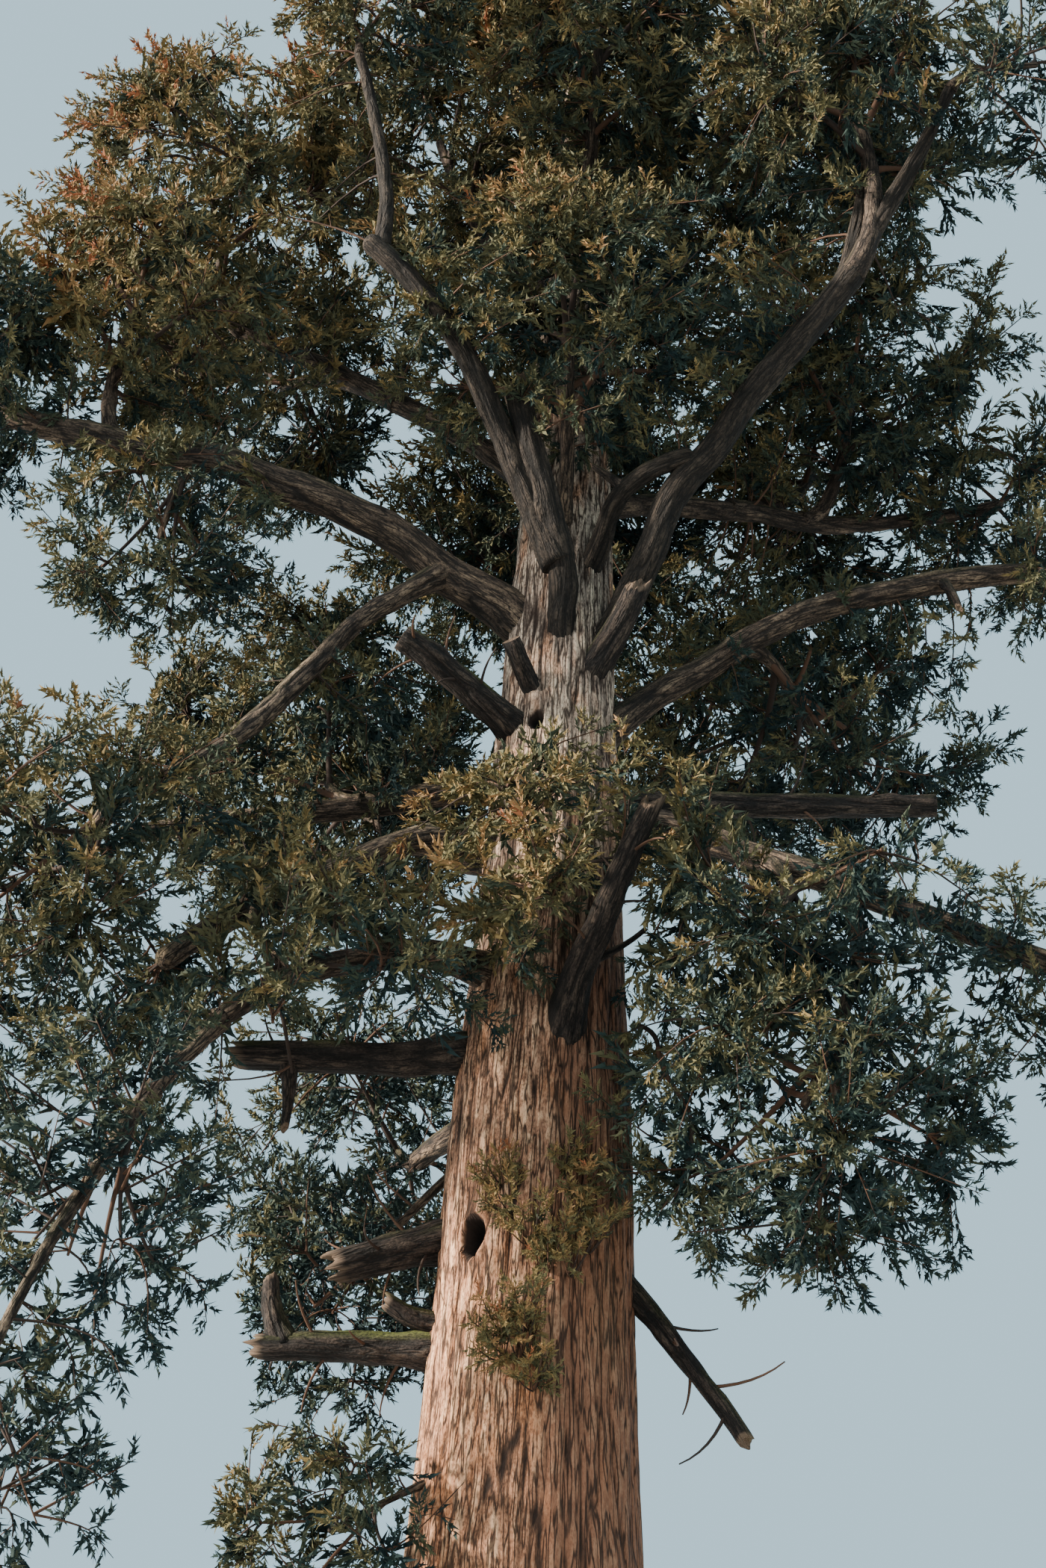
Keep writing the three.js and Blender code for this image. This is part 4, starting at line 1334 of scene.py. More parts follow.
@dataclass
class Plumes(Rows):
    """Leafy plumes: foot, aim, turn about it, length, outline, tint, mass and depth."""

    foot: Array
    aim: Array
    spin: Array
    size: Array
    kind: Array
    tint: Array
    own: Array
    depth: Array


@dataclass(frozen=True)
class MainTwigRule:
    """The frame's own rule for the main twigs of a mass, from its stem out to its leaves."""

    level_spread: float = 0.35
    seed_turn: int = 61
    turn_spread: int = 40
    rooted: float = 0.45
    reach: float = 0.6
    lead: float = 0.5
    bow: float = 0.32
    girth: float = 0.8
    taper: float = 0.45


@dataclass(frozen=True)
class BranchletRule:
    """How branchlets carry the growth on to points spread evenly through a mass.

    The parts are first, last and count. In inner_part and girth the second number is added.
    """

    per_area: float = 1.78
    area_power: float = 1.6
    seed_turn: int = 83
    aim_spread: float = 0.3
    shell: float = 0.2
    inner_share: float = 0.3
    inner_part: Pair = (0.45, 0.35)
    reach: float = 0.93
    twig_parts: tuple[float, float, int] = (0.1, 0.95, 8)
    stem_parts: tuple[float, float, int] = (0.6, 1, 5)
    bough_parts: tuple[float, float, int] = (0.4, 1, 14)
    lead: float = 0.45
    straight: float = 0.5
    rise: float = 0.35
    bow: float = 0.45
    hang_from: float = 0.5
    hang: Pair = (0.85, 0.15)
    crowded_at: float = 0.9
    crowded_cut: float = 0.4
    shortest: float = 0.35
    least_room: float = 0.3
    warm_tone: float = 0.6
    sunny_tone: float = 0.1
    tone_spread: float = 0.14
    # Inner branchlets take darker tints: painted shade inside the crown.
    inner_tone: float = 0.16
    girth: Pair = (0.011, 0.008)
    taper: float = 0.35


@dataclass(frozen=True)
class TuftRule:
    """The tufts that sprout from the trunk: height, bearing, length and the nearest mass."""

    rows: tuple[tuple[float, float, float, int], ...] = (
        (11.74, -74, 0.5, 17), (11.38, -67, 0.55, 17), (10.86, -92, 0.5, 23),
        (10.6, -82, 0.5, 17), (10.56, -69, 0.5, 17), (10.88, -57, 0.5, 17),
        (10.92, -74, 0.45, 17), (9.86, -105, 0.5, 27), (9.92, -93, 0.5, 27),
        (9.58, -96, 0.5, 27), (9.6, -105, 0.4, 27), (9.28, -88, 0.4, 27),
        (11.58, -111, 0.35, 23), (11.26, -106, 0.35, 23), (13.9, 20, 0.8, 17),
        (12.2, 75, 0.7, 30), (9.2, 60, 0.6, 30), (7.4, 140, 0.6, 27),
        (15.9, -30, 0.8, 20), (6.6, -160, 0.5, 27))
    twigs: int = 4
    size: float = 0.68
    longest: Pair = (0.95, 0.25)
    side_fan: int = 32
    rise: tuple[int, int] = (14, 26)
    sunk: float = 0.96
    upturn: float = 0.25
    sag: float = 0.12
    girth: float = 0.014
    taper: float = 0.4
    tone: float = 0.5


@dataclass(frozen=True)
class SprayRule:
    """How sprays stand along the outer end of a branchlet, in metres back from its tip."""

    spots: tuple[float, ...] = (0.85, 0.6, 0.42, 0.26, 0.12, 0.0)
    length: Pair = (0.17, 0.3)
    first_part: float = 0.12
    spread: float = 60
    bow: Pair = (0.5, 0.12)
    centre_back: float = 0.3
    lit_reach: float = 0.5
    lit_tone: float = 0.15
    tone_spread: float = 0.16
    deep_from: float = 0.3
    deepest: float = 0.6
    girth: float = 0.008
    taper: float = 0.5


@dataclass(frozen=True)
class PlumeRule:
    """How plumes stand along the stalk of a spray, and how their tints are dealt out."""

    parts: tuple[float, ...] = (0.1, 0.3, 0.48, 0.64, 0.8, 0.92, 1.0)
    length: Pair = (0.21, 0.31)
    inner_growth: float = 0.65
    turn: int = 180
    turn_spread: int = 70
    row_turn: float = 31.0
    lean: int = 12
    side_lean: int = 30
    lean_spread: int = 14
    tone_spread: float = 0.26
    tip_tone: float = 0.14
    tone_scale: float = 1.12
    thin_from: float = 0.3
    reach: float = 1.03
    edge_room: float = 0.2


@dataclass
class Crown:
    """The spaces of the masses, and the twigs and plumes that fill them."""

    trunk: Trunk
    limbs: dict[str, Limb]
    masses: list[Mass]
    main_rule: MainTwigRule = MainTwigRule()
    branchlet_rule: BranchletRule = BranchletRule()
    tuft_rule: TuftRule = TuftRule()
    spray_rule: SprayRule = SprayRule()
    plume_rule: PlumeRule = PlumeRule()
    space_margin: float = 1.04
    march_steps: int = 24
    limb_balls: int = 40
    stem_balls: int = 20
    batch: int = 4000
    wood_gap: float = 0.1
    open_parts: int = 10
    open_gap: float = 0.38
    open_reach: float = 5.4
    open_to: Triple = CAMERA_PLACE
    sun: Triple = (-0.65, -0.45, 0.6)

    def __post_init__(self) -> None:
        """Lists the hearts, reaches and wood that every test reads."""
        self.hearts = np.array([mass.size.heart for mass in self.masses])
        self.reaches = np.array([mass.size.reach for mass in self.masses])
        self.wood = self.wood_balls()

    def wood_balls(self) -> tuple[Array, Array]:
        """Lists balls along the limbs and stems.

        Returns:
            Their centres and radii.
        """
        centres, radii = [], []
        for limb in self.limbs.values():
            part = np.linspace(0, 1, self.limb_balls)
            centres.append(limb.way.at(part))
            radii.append(limb.radius(part))
        for mass in self.masses:
            part = np.linspace(0, 1, self.stem_balls)
            centres.append(mass.stem.at(part))
            radii.append(mass.girth[0] + (mass.girth[1] - mass.girth[0]) * part)
        return np.concatenate(centres), np.concatenate(radii)

    def clear_of_wood(self, points: Array) -> Array:
        """Tells which points stay clear of the trunk, limbs and stems.

        Args:
            points: The points.

        Returns:
            True for each point that is clear.
        """
        height = np.clip(points[:, 2], 0, self.trunk.tip)
        clear = np.linalg.norm(points - lean_axis(height), axis=1) > (
            self.trunk.radius(height) + self.wood_gap * 2)
        centres, radii = self.wood
        for k in range(0, len(points), self.batch):
            lot = slice(k, k + self.batch)
            gap = np.linalg.norm(points[lot, None] - centres[None], axis=2) - radii
            clear[lot] &= gap.min(axis=1) > self.wood_gap
        return clear

    def clear_of_dead(self, points: Array, gap: float) -> Array:
        """Tells which points leave the dead limbs bare and in plain sight of the camera.

        Args:
            points: The points.
            gap: How far off the bare wood a point must stay.

        Returns:
            True for each point that is clear.
        """
        clear = np.ones(len(points), dtype=bool)
        for limb in self.limbs.values():
            if not limb.size.dead:
                continue
            hidden = max(limb.size.bare_from, limb.buried / limb.size.length)
            parts = np.linspace(min(hidden, 1), 1, self.open_parts)
            for centre, radius in zip(limb.way.at(parts), limb.radius(parts)):
                offset = points - centre
                way = unit(np.array(self.open_to) - centre)
                along = np.clip(offset @ way, 0, self.open_reach)
                clear &= np.linalg.norm(offset - along[:, None] * way, axis=1) > radius + gap
        return clear

    def shares(self, points: Array) -> Array:
        """Returns how far points are from each heart: 1 is the skin of its ellipsoid."""
        return np.linalg.norm((points[:, None] - self.hearts) / self.reaches, axis=2)

    def inside(self, points: Array, own: Array) -> Array:
        """Tells which points lie in the space of their own mass.

        Args:
            points: The points.
            own: The mass of each.

        Returns:
            True for each point that its mass owns.
        """
        shares = self.shares(points)
        rows = np.arange(len(points))
        mine = shares[rows, own].copy()
        shares[rows, own] = np.inf
        return (mine < 1) & (mine * self.space_margin < shares.min(axis=1))

    def room(self, starts: Array, ways: Array, own: Array, longest: Array) -> Array:
        """Finds how far each way may go before it leaves its mass's space.

        Args:
            starts: Where each starts.
            ways: Its direction.
            own: Its mass.
            longest: The most that is asked about.

        Returns:
            The room in metres.
        """
        room = np.zeros(len(starts))
        free = np.ones(len(starts), dtype=bool)
        for k in range(1, self.march_steps + 1):
            far = longest * k / self.march_steps
            free &= self.inside(starts + ways * far[:, None], own)
            room = np.where(free, far, room)
        return room

    def main_twigs(self) -> Twigs:
        """Grows the twigs that the frame's own rule gives each mass.

        Returns:
            The main twigs of all masses.
        """
        lots, rule = [], self.main_rule
        for place, mass in enumerate(self.masses):
            count = mass.size.twigs
            k = np.arange(count)
            stray = (chance(mass.seed, k, Draw.TWIG_LEVEL) - 0.5) * rule.level_spread
            rise = np.degrees(np.arcsin(np.clip(1 - (2 * k + 1) / count + stray, -1, 1)))
            bearing = (k * GOLDEN_ANGLE + mass.seed * rule.seed_turn
                       + chance(mass.seed, k, Draw.TWIG_BEARING) * rule.turn_spread)
            outward = unit(heading_of(bearing, rise) + UP * mass.size.lift)
            heart = np.array(mass.size.heart) * np.ones((count, 3))
            own = np.full(count, place)
            longest = np.full(count, max(mass.size.reach))
            room = self.room(heart, outward, own, longest)
            rooted = min(1.0, mass.size.mean_reach() * rule.rooted / np.linalg.norm(
                mass.stem.points[-1] - mass.stem.points[0]))
            part = 1 - rooted * (k + 0.5) / count
            root, lead = mass.stem.at(part), mass.stem.heading(part)
            end = heart + outward * (room * rule.reach)[:, None]
            span = np.linalg.norm(end - root, axis=1)[:, None]
            bend = root + (lead * rule.lead + unit(end - root)) * span * rule.bow
            lots.append(Twigs(root, bend, end, mass.girth[1] * rule.girth, rule.taper, own))
        return Twigs.joined(lots)

    def branchlets(self, main: Twigs) -> Twigs:
        """Carries the growth on from the main twigs to points spread evenly through each mass.

        Args:
            main: The main twigs.

        Returns:
            The branchlets of all masses.
        """
        lots, power = [], self.branchlet_rule.area_power
        for place, mass in enumerate(self.masses):
            a, b, c = mass.size.reach
            area = 4 * math.pi * ((a * b) ** power + (a * c) ** power + (b * c) ** power) ** (
                1 / power) / (3 ** (1 / power))
            count = int(area * self.branchlet_rule.per_area * mass.size.fill)
            lots.append(self.mass_branchlets(place, count, main))
        return Twigs.joined(lots)

    def mass_branchlets(self, place: int, count: int, main: Twigs) -> Twigs:
        """Grows the branchlets of one mass.

        Args:
            place: Which mass it is.
            count: How many directions are tried.
            main: The main twigs of all masses.

        Returns:
            Its branchlets.
        """
        k, mass, rule = np.arange(count), self.masses[place], self.branchlet_rule
        rise = np.degrees(np.arcsin(1 - (2 * k + 1) / count))
        outward = heading_of(k * GOLDEN_ANGLE + mass.seed * rule.seed_turn, rise)
        stray = np.stack([chance(mass.seed, k, Draw.BRANCHLET_AIM + axis) for axis in range(3)],
                         axis=-1) - 0.5
        outward = unit(outward + stray * rule.aim_spread)
        own = np.full(count, place)
        heart = np.array(mass.size.heart) * np.ones((count, 3))
        reach = 1 / np.linalg.norm(outward / np.array(mass.size.reach), axis=1)
        room = self.room(heart, outward, own, reach)
        inner = chance(mass.seed, k, Draw.INNER) < rule.inner_share
        outer_part = 1 - rule.shell * chance(mass.seed, k, Draw.OUTER_DEPTH)
        deepest, span = rule.inner_part
        inner_part = deepest + span * chance(mass.seed, k, Draw.INNER_DEPTH)
        target = heart + outward * (room * np.where(inner, inner_part, outer_part)
                                    * rule.reach)[:, None]
        spots, leads = self.footholds(place, main)
        nearest = np.linalg.norm(target[:, None] - spots, axis=2).argmin(axis=1)
        root, lead = spots[nearest], leads[nearest]
        span = np.linalg.norm(target - root, axis=1)
        droop = mass.size.droop
        rising = root + (lead * rule.lead + unit(target - root) * rule.straight
                         + UP * droop * rule.rise) * (span * rule.bow)[:, None]
        hanging = np.stack((target[:, 0], target[:, 1], np.maximum(root[:, 2], target[:, 2])),
                           axis=-1)
        hung = max(0.0, (droop - rule.hang_from) * 2)
        bend = rising * (1 - hung) + (hanging * rule.hang[0] + root * rule.hang[1]) * hung
        crowded_in = room < reach * rule.crowded_at
        crowded = crowded_in & (chance(mass.seed, k, Draw.CROWDED) < rule.crowded_cut)
        keep = (span > rule.shortest) & ~crowded & self.clear_of_wood(target)
        keep &= (room > rule.least_room) & self.clear_of_dead(target, self.open_gap)
        sunny = unit(outward) @ unit(np.array(self.sun))
        # Inner branchlets are given darker tints: painted shade inside the crown.
        tone = (mass.size.warmth * rule.warm_tone + rule.sunny_tone * sunny
                + rule.tone_spread * (chance(mass.seed, k, Draw.BRANCHLET_TONE) - 0.5)
                - np.where(inner, rule.inner_tone, 0))
        girth = rule.girth[0] + rule.girth[1] * span
        depth = np.where(inner | crowded_in, 1.0, 0.0)
        return Twigs(root, bend, target, girth, rule.taper, own, tone, depth).kept(keep)

    def footholds(self, place: int, main: Twigs) -> tuple[Array, Array]:
        """Lists where the branchlets of a mass may start.

        Args:
            place: Which mass it is.
            main: The main twigs of all masses.

        Returns:
            Points on its main twigs, its stem and every living limb, and the growth's direction
            at each.
        """
        rule = self.branchlet_rule
        mine = main.kept(main.own == place)
        samples = [(mine.at(part), mine.heading(part)) for part in np.linspace(*rule.twig_parts)]
        carriers = [(self.masses[place].stem, rule.stem_parts)]
        carriers += [(limb.way, rule.bough_parts) for limb in self.limbs.values()
                     if not limb.size.dead]
        for way, spread in carriers:
            parts = np.linspace(*spread)
            samples.append((way.at(parts), way.heading(parts)))
        spots, leads = zip(*samples)
        return np.concatenate(spots), np.concatenate(leads)

    def trunk_tufts(self) -> Twigs:
        """Grows the small tufts that sprout from the trunk's own bark.

        Returns:
            Their branchlets, counted with the nearest masses.
        """
        rule = self.tuft_rule
        height, bearing, long, place = np.repeat(rule.rows, rule.twigs, axis=0).T
        fan = np.tile(np.linspace(-1, 1, rule.twigs), len(rule.rows))
        long = long * (rule.longest[0] - rule.longest[1] * np.abs(fan))
        outward = heading_of(bearing + fan * rule.side_fan, rule.rise[0] + fan * rule.rise[1])
        root = lean_axis(height) + heading_of(bearing, 0) * (
            self.trunk.radius(height) * rule.sunk)[:, None]
        end = root + outward * long[:, None] + UP * (long * rule.upturn)[:, None]
        bend = (root + end) / 2 - UP * (long * rule.sag)[:, None]
        return Twigs(root, bend, end, rule.girth, rule.taper, place.astype(int), rule.tone, -1.0)

    def sprays(self, branchlets: Twigs) -> Twigs:
        """Grows the small sprays at the outer end of each branchlet.

        Args:
            branchlets: What carries them.

        Returns:
            The stalks of the sprays.
        """
        lots, rule = [], self.spray_rule
        length = branchlets.length()
        rows = np.arange(len(length))
        inward = rule.centre_back
        centre = branchlets.at(np.clip(1 - inward / np.maximum(length, inward), 0, 1))
        for k, back in enumerate(rule.spots):
            part = 1 - back / np.maximum(length, 0.01)
            here = branchlets.at(np.clip(part, 0, 1))
            lead = branchlets.heading(np.clip(part, 0, 1))
            side, over = square_to(lead)
            turn = np.radians(k * GOLDEN_ANGLE + 360 * chance(rows, k, Draw.SPRAY_TURN))[:, None]
            off = np.radians(0 if back == 0 else rule.spread)
            aim = unit(lead * np.cos(off) + (side * np.cos(turn) + over * np.sin(turn))
                       * np.sin(off))
            low, high = rule.length
            long = low + (high - low) * chance(rows, k, Draw.SPRAY_LENGTH)
            long = np.where(branchlets.depth < 0, long * self.tuft_rule.size, long)
            end = here + aim * long[:, None]
            bend = here + (aim * rule.bow[0] + lead * rule.bow[1]) * long[:, None]
            lit = np.clip((end - centre) @ unit(np.array(self.sun)) / rule.lit_reach, -1, 1)
            tone = (branchlets.tone + rule.tone_spread * (chance(rows, k, Draw.SPRAY_TONE) - 0.5)
                    + rule.lit_tone * lit)
            depth = np.where(branchlets.depth > 0, 1.0,
                             np.clip(back - rule.deep_from, 0, rule.deepest))
            depth = np.where(branchlets.depth < 0, -1.0, depth)
            stalks = Twigs(here, bend, end, rule.girth, rule.taper, branchlets.own, tone, depth)
            lots.append(stalks.kept((part > rule.first_part)
                                    & self.clear_of_dead(end, self.open_gap / 3)))
        return Twigs.joined(lots)

    def plumes(self, sprays: Twigs) -> Plumes:
        """Sets plumes along the stalks of the sprays, the last one at the tip.

        Args:
            sprays: The stalks.

        Returns:
            The plumes that stay in their masses' spaces.
        """
        lots, rule = [], self.plume_rule
        rows = np.arange(len(sprays.root))
        for k, part in enumerate(rule.parts):
            foot, lead = sprays.at(part), sprays.heading(part)
            side, over = square_to(lead)
            turn = np.radians(k * rule.turn + rule.turn_spread * chance(rows, k, Draw.PLUME_TURN)
                              + rows * rule.row_turn)[:, None]
            off = np.radians(rule.lean + rule.side_lean * (part < 1)
                             + rule.lean_spread * chance(rows, k, Draw.PLUME_LEAN))[:, None]
            aim = lead * np.cos(off) + (side * np.cos(turn) + over * np.sin(turn)) * np.sin(off)
            low, high = rule.length
            size = low + (high - low) * chance(rows, k, Draw.PLUME_LENGTH)
            size = size * (1 + rule.inner_growth * np.maximum(sprays.depth, 0))
            size = np.where(sprays.depth < 0, size * self.tuft_rule.size, size)
            score = (sprays.tone + rule.tone_spread * (chance(rows, k, Draw.PLUME_TONE) - 0.5)
                     + rule.tip_tone * (part - 0.5))
            tint = np.clip((score * rule.tone_scale * len(LEAF_TINTS)).astype(int), 0,
                           len(LEAF_TINTS) - 1)
            kind = (chance(rows, k, Draw.PLUME_KIND) * len(PLUMES)).astype(int)
            kind = np.where(sprays.depth >= 1, len(PLUMES) - 1, kind)
            spin = 2 * math.pi * chance(rows, k, Draw.PLUME_SPIN)
            plumes = Plumes(foot, unit(aim), spin, size, kind, tint, sprays.own, sprays.depth)
            lots.append(plumes.kept((sprays.depth < rule.thin_from) | (k % 2 == 0)))
        every = Plumes.joined(lots)
        tips = every.foot + every.aim * every.size[:, None]
        low, high = (np.array(corner) for corner in CAD_BOX)
        boxed = ((tips > low - rule.edge_room) & (tips < high + rule.edge_room)).all(axis=1)
        near = self.shares(tips)[np.arange(len(tips)), every.own] < rule.reach
        return every.kept(boxed & (near | (every.depth < 0)))


@dataclass(frozen=True)
class PlumeOutline:
    """One plume: a rib with pointed fingers set round it in a spiral, like a small brush."""

    name: str
    fingers: int
    long: float
    wide: float
    lean: Pair
    bow: float
    start: float
    rib: float = 0.03
    rib_top: float = 0.75
    marks: Pair = (0.04, 0.66)
    twist: float = 0.35
    shorten: Pair = (1.1, 0.45)
    cap: Triple = (0.55, 0.6, 0.92)
    cap_turn: float = 0.02

    def build(self) -> Piece:
        """Builds the plume one metre long, from its foot along +Z.

        Returns:
            The plume, to be scattered and then thrown away.
        """
        corners = [(-self.rib, 0.0, 0.0), (self.rib, 0.0, 0.0),
                   (self.bow * 0.5, 0.0, self.rib_top)]
        faces = [(0, 1, 2)]
        for k in range(self.fingers):
            mark = self.marks[0] + self.marks[1] * k / self.fingers
            turn = math.radians(self.start + k * GOLDEN_ANGLE)
            lean = math.radians(self.lean[0] + (self.lean[1] - self.lean[0]) * mark)
            out = Vector((math.cos(turn), math.sin(turn), 0.0))
            across = Vector((-out.y, out.x, self.twist)) * self.wide / 2
            foot = Vector((self.bow * mark * mark, 0.0, mark))
            long = self.long * (self.shorten[0] - self.shorten[1] * mark)
            tip = foot + (out * math.sin(lean) + Vector((0, 0, math.cos(lean)))) * long
            corners += [tuple(foot - across), tuple(foot + across), tuple(tip)]
            faces.append((len(corners) - 3, len(corners) - 2, len(corners) - 1))
        left, right, top = self.cap
        corners += [(-self.wide / 2, 0.0, left), (self.wide / 2, self.cap_turn, right),
                    (self.bow, 0.0, top)]
        faces.append((len(corners) - 3, len(corners) - 2, len(corners) - 1))
        mesh = bpy.data.meshes.new(self.name)
        mesh.from_pydata(corners, [], faces)
        return bpy.data.objects.new(self.name, mesh)


PLUMES = (
    PlumeOutline("plume_brush", 7, 0.36, 0.13, (44, 20), 0.14, 0),
    PlumeOutline("plume_slim", 7, 0.32, 0.12, (36, 16), -0.18, 40),
    PlumeOutline("plume_broad", 7, 0.42, 0.17, (56, 28), 0.1, 75),
)


class GrowthTree:
    """A Geometry Nodes tree with named inputs, run once on a base mesh."""

    def __init__(self, name: str, inputs: Iterable[tuple[str, str]]) -> None:
        """Starts the tree with its geometry in and out and its named inputs.

        Args:
            name: The tree's name.
            inputs: Each input's name and socket type.
        """
        self.tree = bpy.data.node_groups.new(name, "GeometryNodeTree")
        face = self.tree.interface
        face.new_socket("Geometry", in_out="INPUT", socket_type="NodeSocketGeometry")
        self.sockets = {key: face.new_socket(key, in_out="INPUT", socket_type=kind).identifier
                        for key, kind in inputs}
        face.new_socket("Geometry", in_out="OUTPUT", socket_type="NodeSocketGeometry")
        self.work = Wiring(self.tree)
        self.given = self.work.add("NodeGroupInput").outputs

    def read(self, name: str, kind: str) -> Socket:
        """Returns the output that reads a named attribute."""
        return self.work.add("GeometryNodeInputNamedAttribute", {"data_type": kind},
                             Name=name).outputs[0]

    def close(self, geometry: Socket, tints: list[Material]) -> None:
        """Ends the tree: instances are realized and each tint goes where its number is.

        Args:
            geometry: The grown geometry, with a tint number on every point.
            tints: The materials in the order of those numbers.
        """
        grown = self.work.add("GeometryNodeRealizeInstances", Geometry=geometry).outputs[0]
        for number, tint in enumerate(tints):
            same = self.work.add("FunctionNodeCompare", {"data_type": "INT",
                                                         "operation": "EQUAL"})
            whole = [socket for socket in same.inputs if socket.type == "INT"]
            self.tree.links.new(self.read("tint", "INT"), whole[0])
            whole[1].default_value = number
            grown = self.work.add("GeometryNodeSetMaterial", Geometry=grown, Material=tint,
                                  Selection=same.outputs[0]).outputs[0]
        self.work.add("NodeGroupOutput", Geometry=grown)

    def run(self, base: Piece, values: dict[str, object]) -> Piece:
        """Runs the tree on a base object and keeps the result as its plain mesh.

        Args:
            base: The object whose mesh has the attributes that the tree reads.
            values: The tree's inputs by name.

        Returns:
            The same object, with the grown mesh and no modifier.
        """
        modifier = base.modifiers.new("growth", "NODES")
        modifier.node_group = self.tree
        for key, value in values.items():
            modifier[self.sockets[key]] = value
        graph = bpy.context.evaluated_depsgraph_get()
        grown = bpy.data.meshes.new_from_object(base.evaluated_get(graph),
                                                preserve_all_data_layers=True, depsgraph=graph)
        base.modifiers.clear()
        base.data = grown
        return base


class TwigGrowth(GrowthTree):
    """Turns edges with a girth into closed tubes of twig."""

    def __init__(self, tints: list[Material]) -> None:
        """Builds the tree.

        Args:
            tints: The twigs' materials, in the order of their tint numbers.
        """
        super().__init__("TwigGrowth", (("Sides", "NodeSocketInt"), ("Girth", "NodeSocketFloat")))
        work = self.work
        curve = work.add("GeometryNodeMeshToCurve", Mesh=self.given["Geometry"]).outputs[0]
        ring = work.add("GeometryNodeCurvePrimitiveCircle", Resolution=self.given["Sides"],
                        Radius=self.given["Girth"]).outputs[0]
        tube = work.add("GeometryNodeCurveToMesh", Curve=curve, Profile_Curve=ring,
                        Scale=self.read("girth", "FLOAT"), Fill_Caps=True).outputs[0]
        self.close(tube, tints)


class SprayGrowth(GrowthTree):
    """Scatters plumes on points, each turned to its aim, and deals out their tints."""

    def __init__(self, plumes: bpy.types.Collection, tints: list[Material]) -> None:
        """Builds the tree.

        Args:
            plumes: The plume outlines.
            tints: The leaf materials, in the order of their tint numbers.
        """
        super().__init__("SprayGrowth", (("Plume Scale", "NodeSocketFloat"),))
        work = self.work
        outlines = work.add("GeometryNodeCollectionInfo", Collection=plumes,
                            Separate_Children=True, Reset_Children=True).outputs[0]
        aimed = work.add("FunctionNodeAlignRotationToVector", {"axis": "Z"},
                         Vector=self.read("aim", "FLOAT_VECTOR")).outputs[0]
        spin = work.add("FunctionNodeAxisAngleToRotation", Axis=(0.0, 0.0, 1.0),
                        Angle=self.read("spin", "FLOAT")).outputs[0]
        turned = work.add("FunctionNodeRotateRotation", {"rotation_space": "LOCAL"},
                          Rotation=aimed, Rotate_By=spin).outputs[0]
        length = work.sum("MULTIPLY", self.read("size", "FLOAT"), self.given["Plume Scale"])
        dots = work.add("GeometryNodeMeshToPoints", Mesh=self.given["Geometry"]).outputs[0]
        leafy = work.add("GeometryNodeInstanceOnPoints", Points=dots, Instance=outlines,
                         Pick_Instance=True, Instance_Index=self.read("kind", "INT"),
                         Rotation=turned, Scale=length).outputs[0]
        self.close(leafy, tints)


def base_object(name: str, points: Array, edges: Array,
                values: dict[str, tuple[str, Array]]) -> Piece:
    """Makes the bare mesh that a growth tree starts from.

    Args:
        name: The name of the piece to come.
        points: Its corners.
        edges: Its edges.
        values: Attributes by name: the data type and the values.

    Returns:
        The object, linked to the scene.
    """
    mesh = bpy.data.meshes.new(name)
    mesh.vertices.add(len(points))
    mesh.vertices.foreach_set("co", points.astype(np.float32).ravel())
    if len(edges):
        mesh.edges.add(len(edges))
        mesh.edges.foreach_set("vertices", edges.astype(np.int32).ravel())
    for key, (kind, data) in values.items():
        mark(mesh, key, kind, data)
    mesh.update()
    piece = bpy.data.objects.new(name, mesh)
    bpy.context.scene.collection.objects.link(piece)
    return piece


@dataclass
class TwigPiece:
    """Twigs of one kind joined into one piece."""

    name: str
    twigs: Twigs
    steps: int
    sides: int

    def build(self, growth: TwigGrowth, nodes: list[str], slot: Slot) -> Piece:
        """Grows and dresses the twigs.

        Args:
            growth: The twigs' growth tree.
            nodes: The frame's nodes that they stand for.
            slot: Not used.

        Returns:
            The dressed piece.
        """
        parts = np.linspace(0, 1, self.steps + 1)
        points = np.stack([self.twigs.at(part) for part in parts], axis=1)
        count = len(points)
        taper = 1 - (1 - self.twigs.taper[:, None]) * parts
        girth = self.twigs.girth[:, None] * taper
        ids = np.arange(count * (self.steps + 1)).reshape(count, -1)
        edges = np.stack((ids[:, :-1], ids[:, 1:]), axis=-1).reshape(-1, 2)
        tint = np.repeat(chance(np.arange(count), 3, Draw.TWIG_TINT) > 0.5, self.steps + 1)
        piece = base_object(self.name, points.reshape(-1, 3), edges,
                            {"girth": ("FLOAT", girth), "tint": ("INT", tint)})
        growth.run(piece, {"Sides": self.sides, "Girth": 1.0})
        dress(piece, nodes)
        return piece


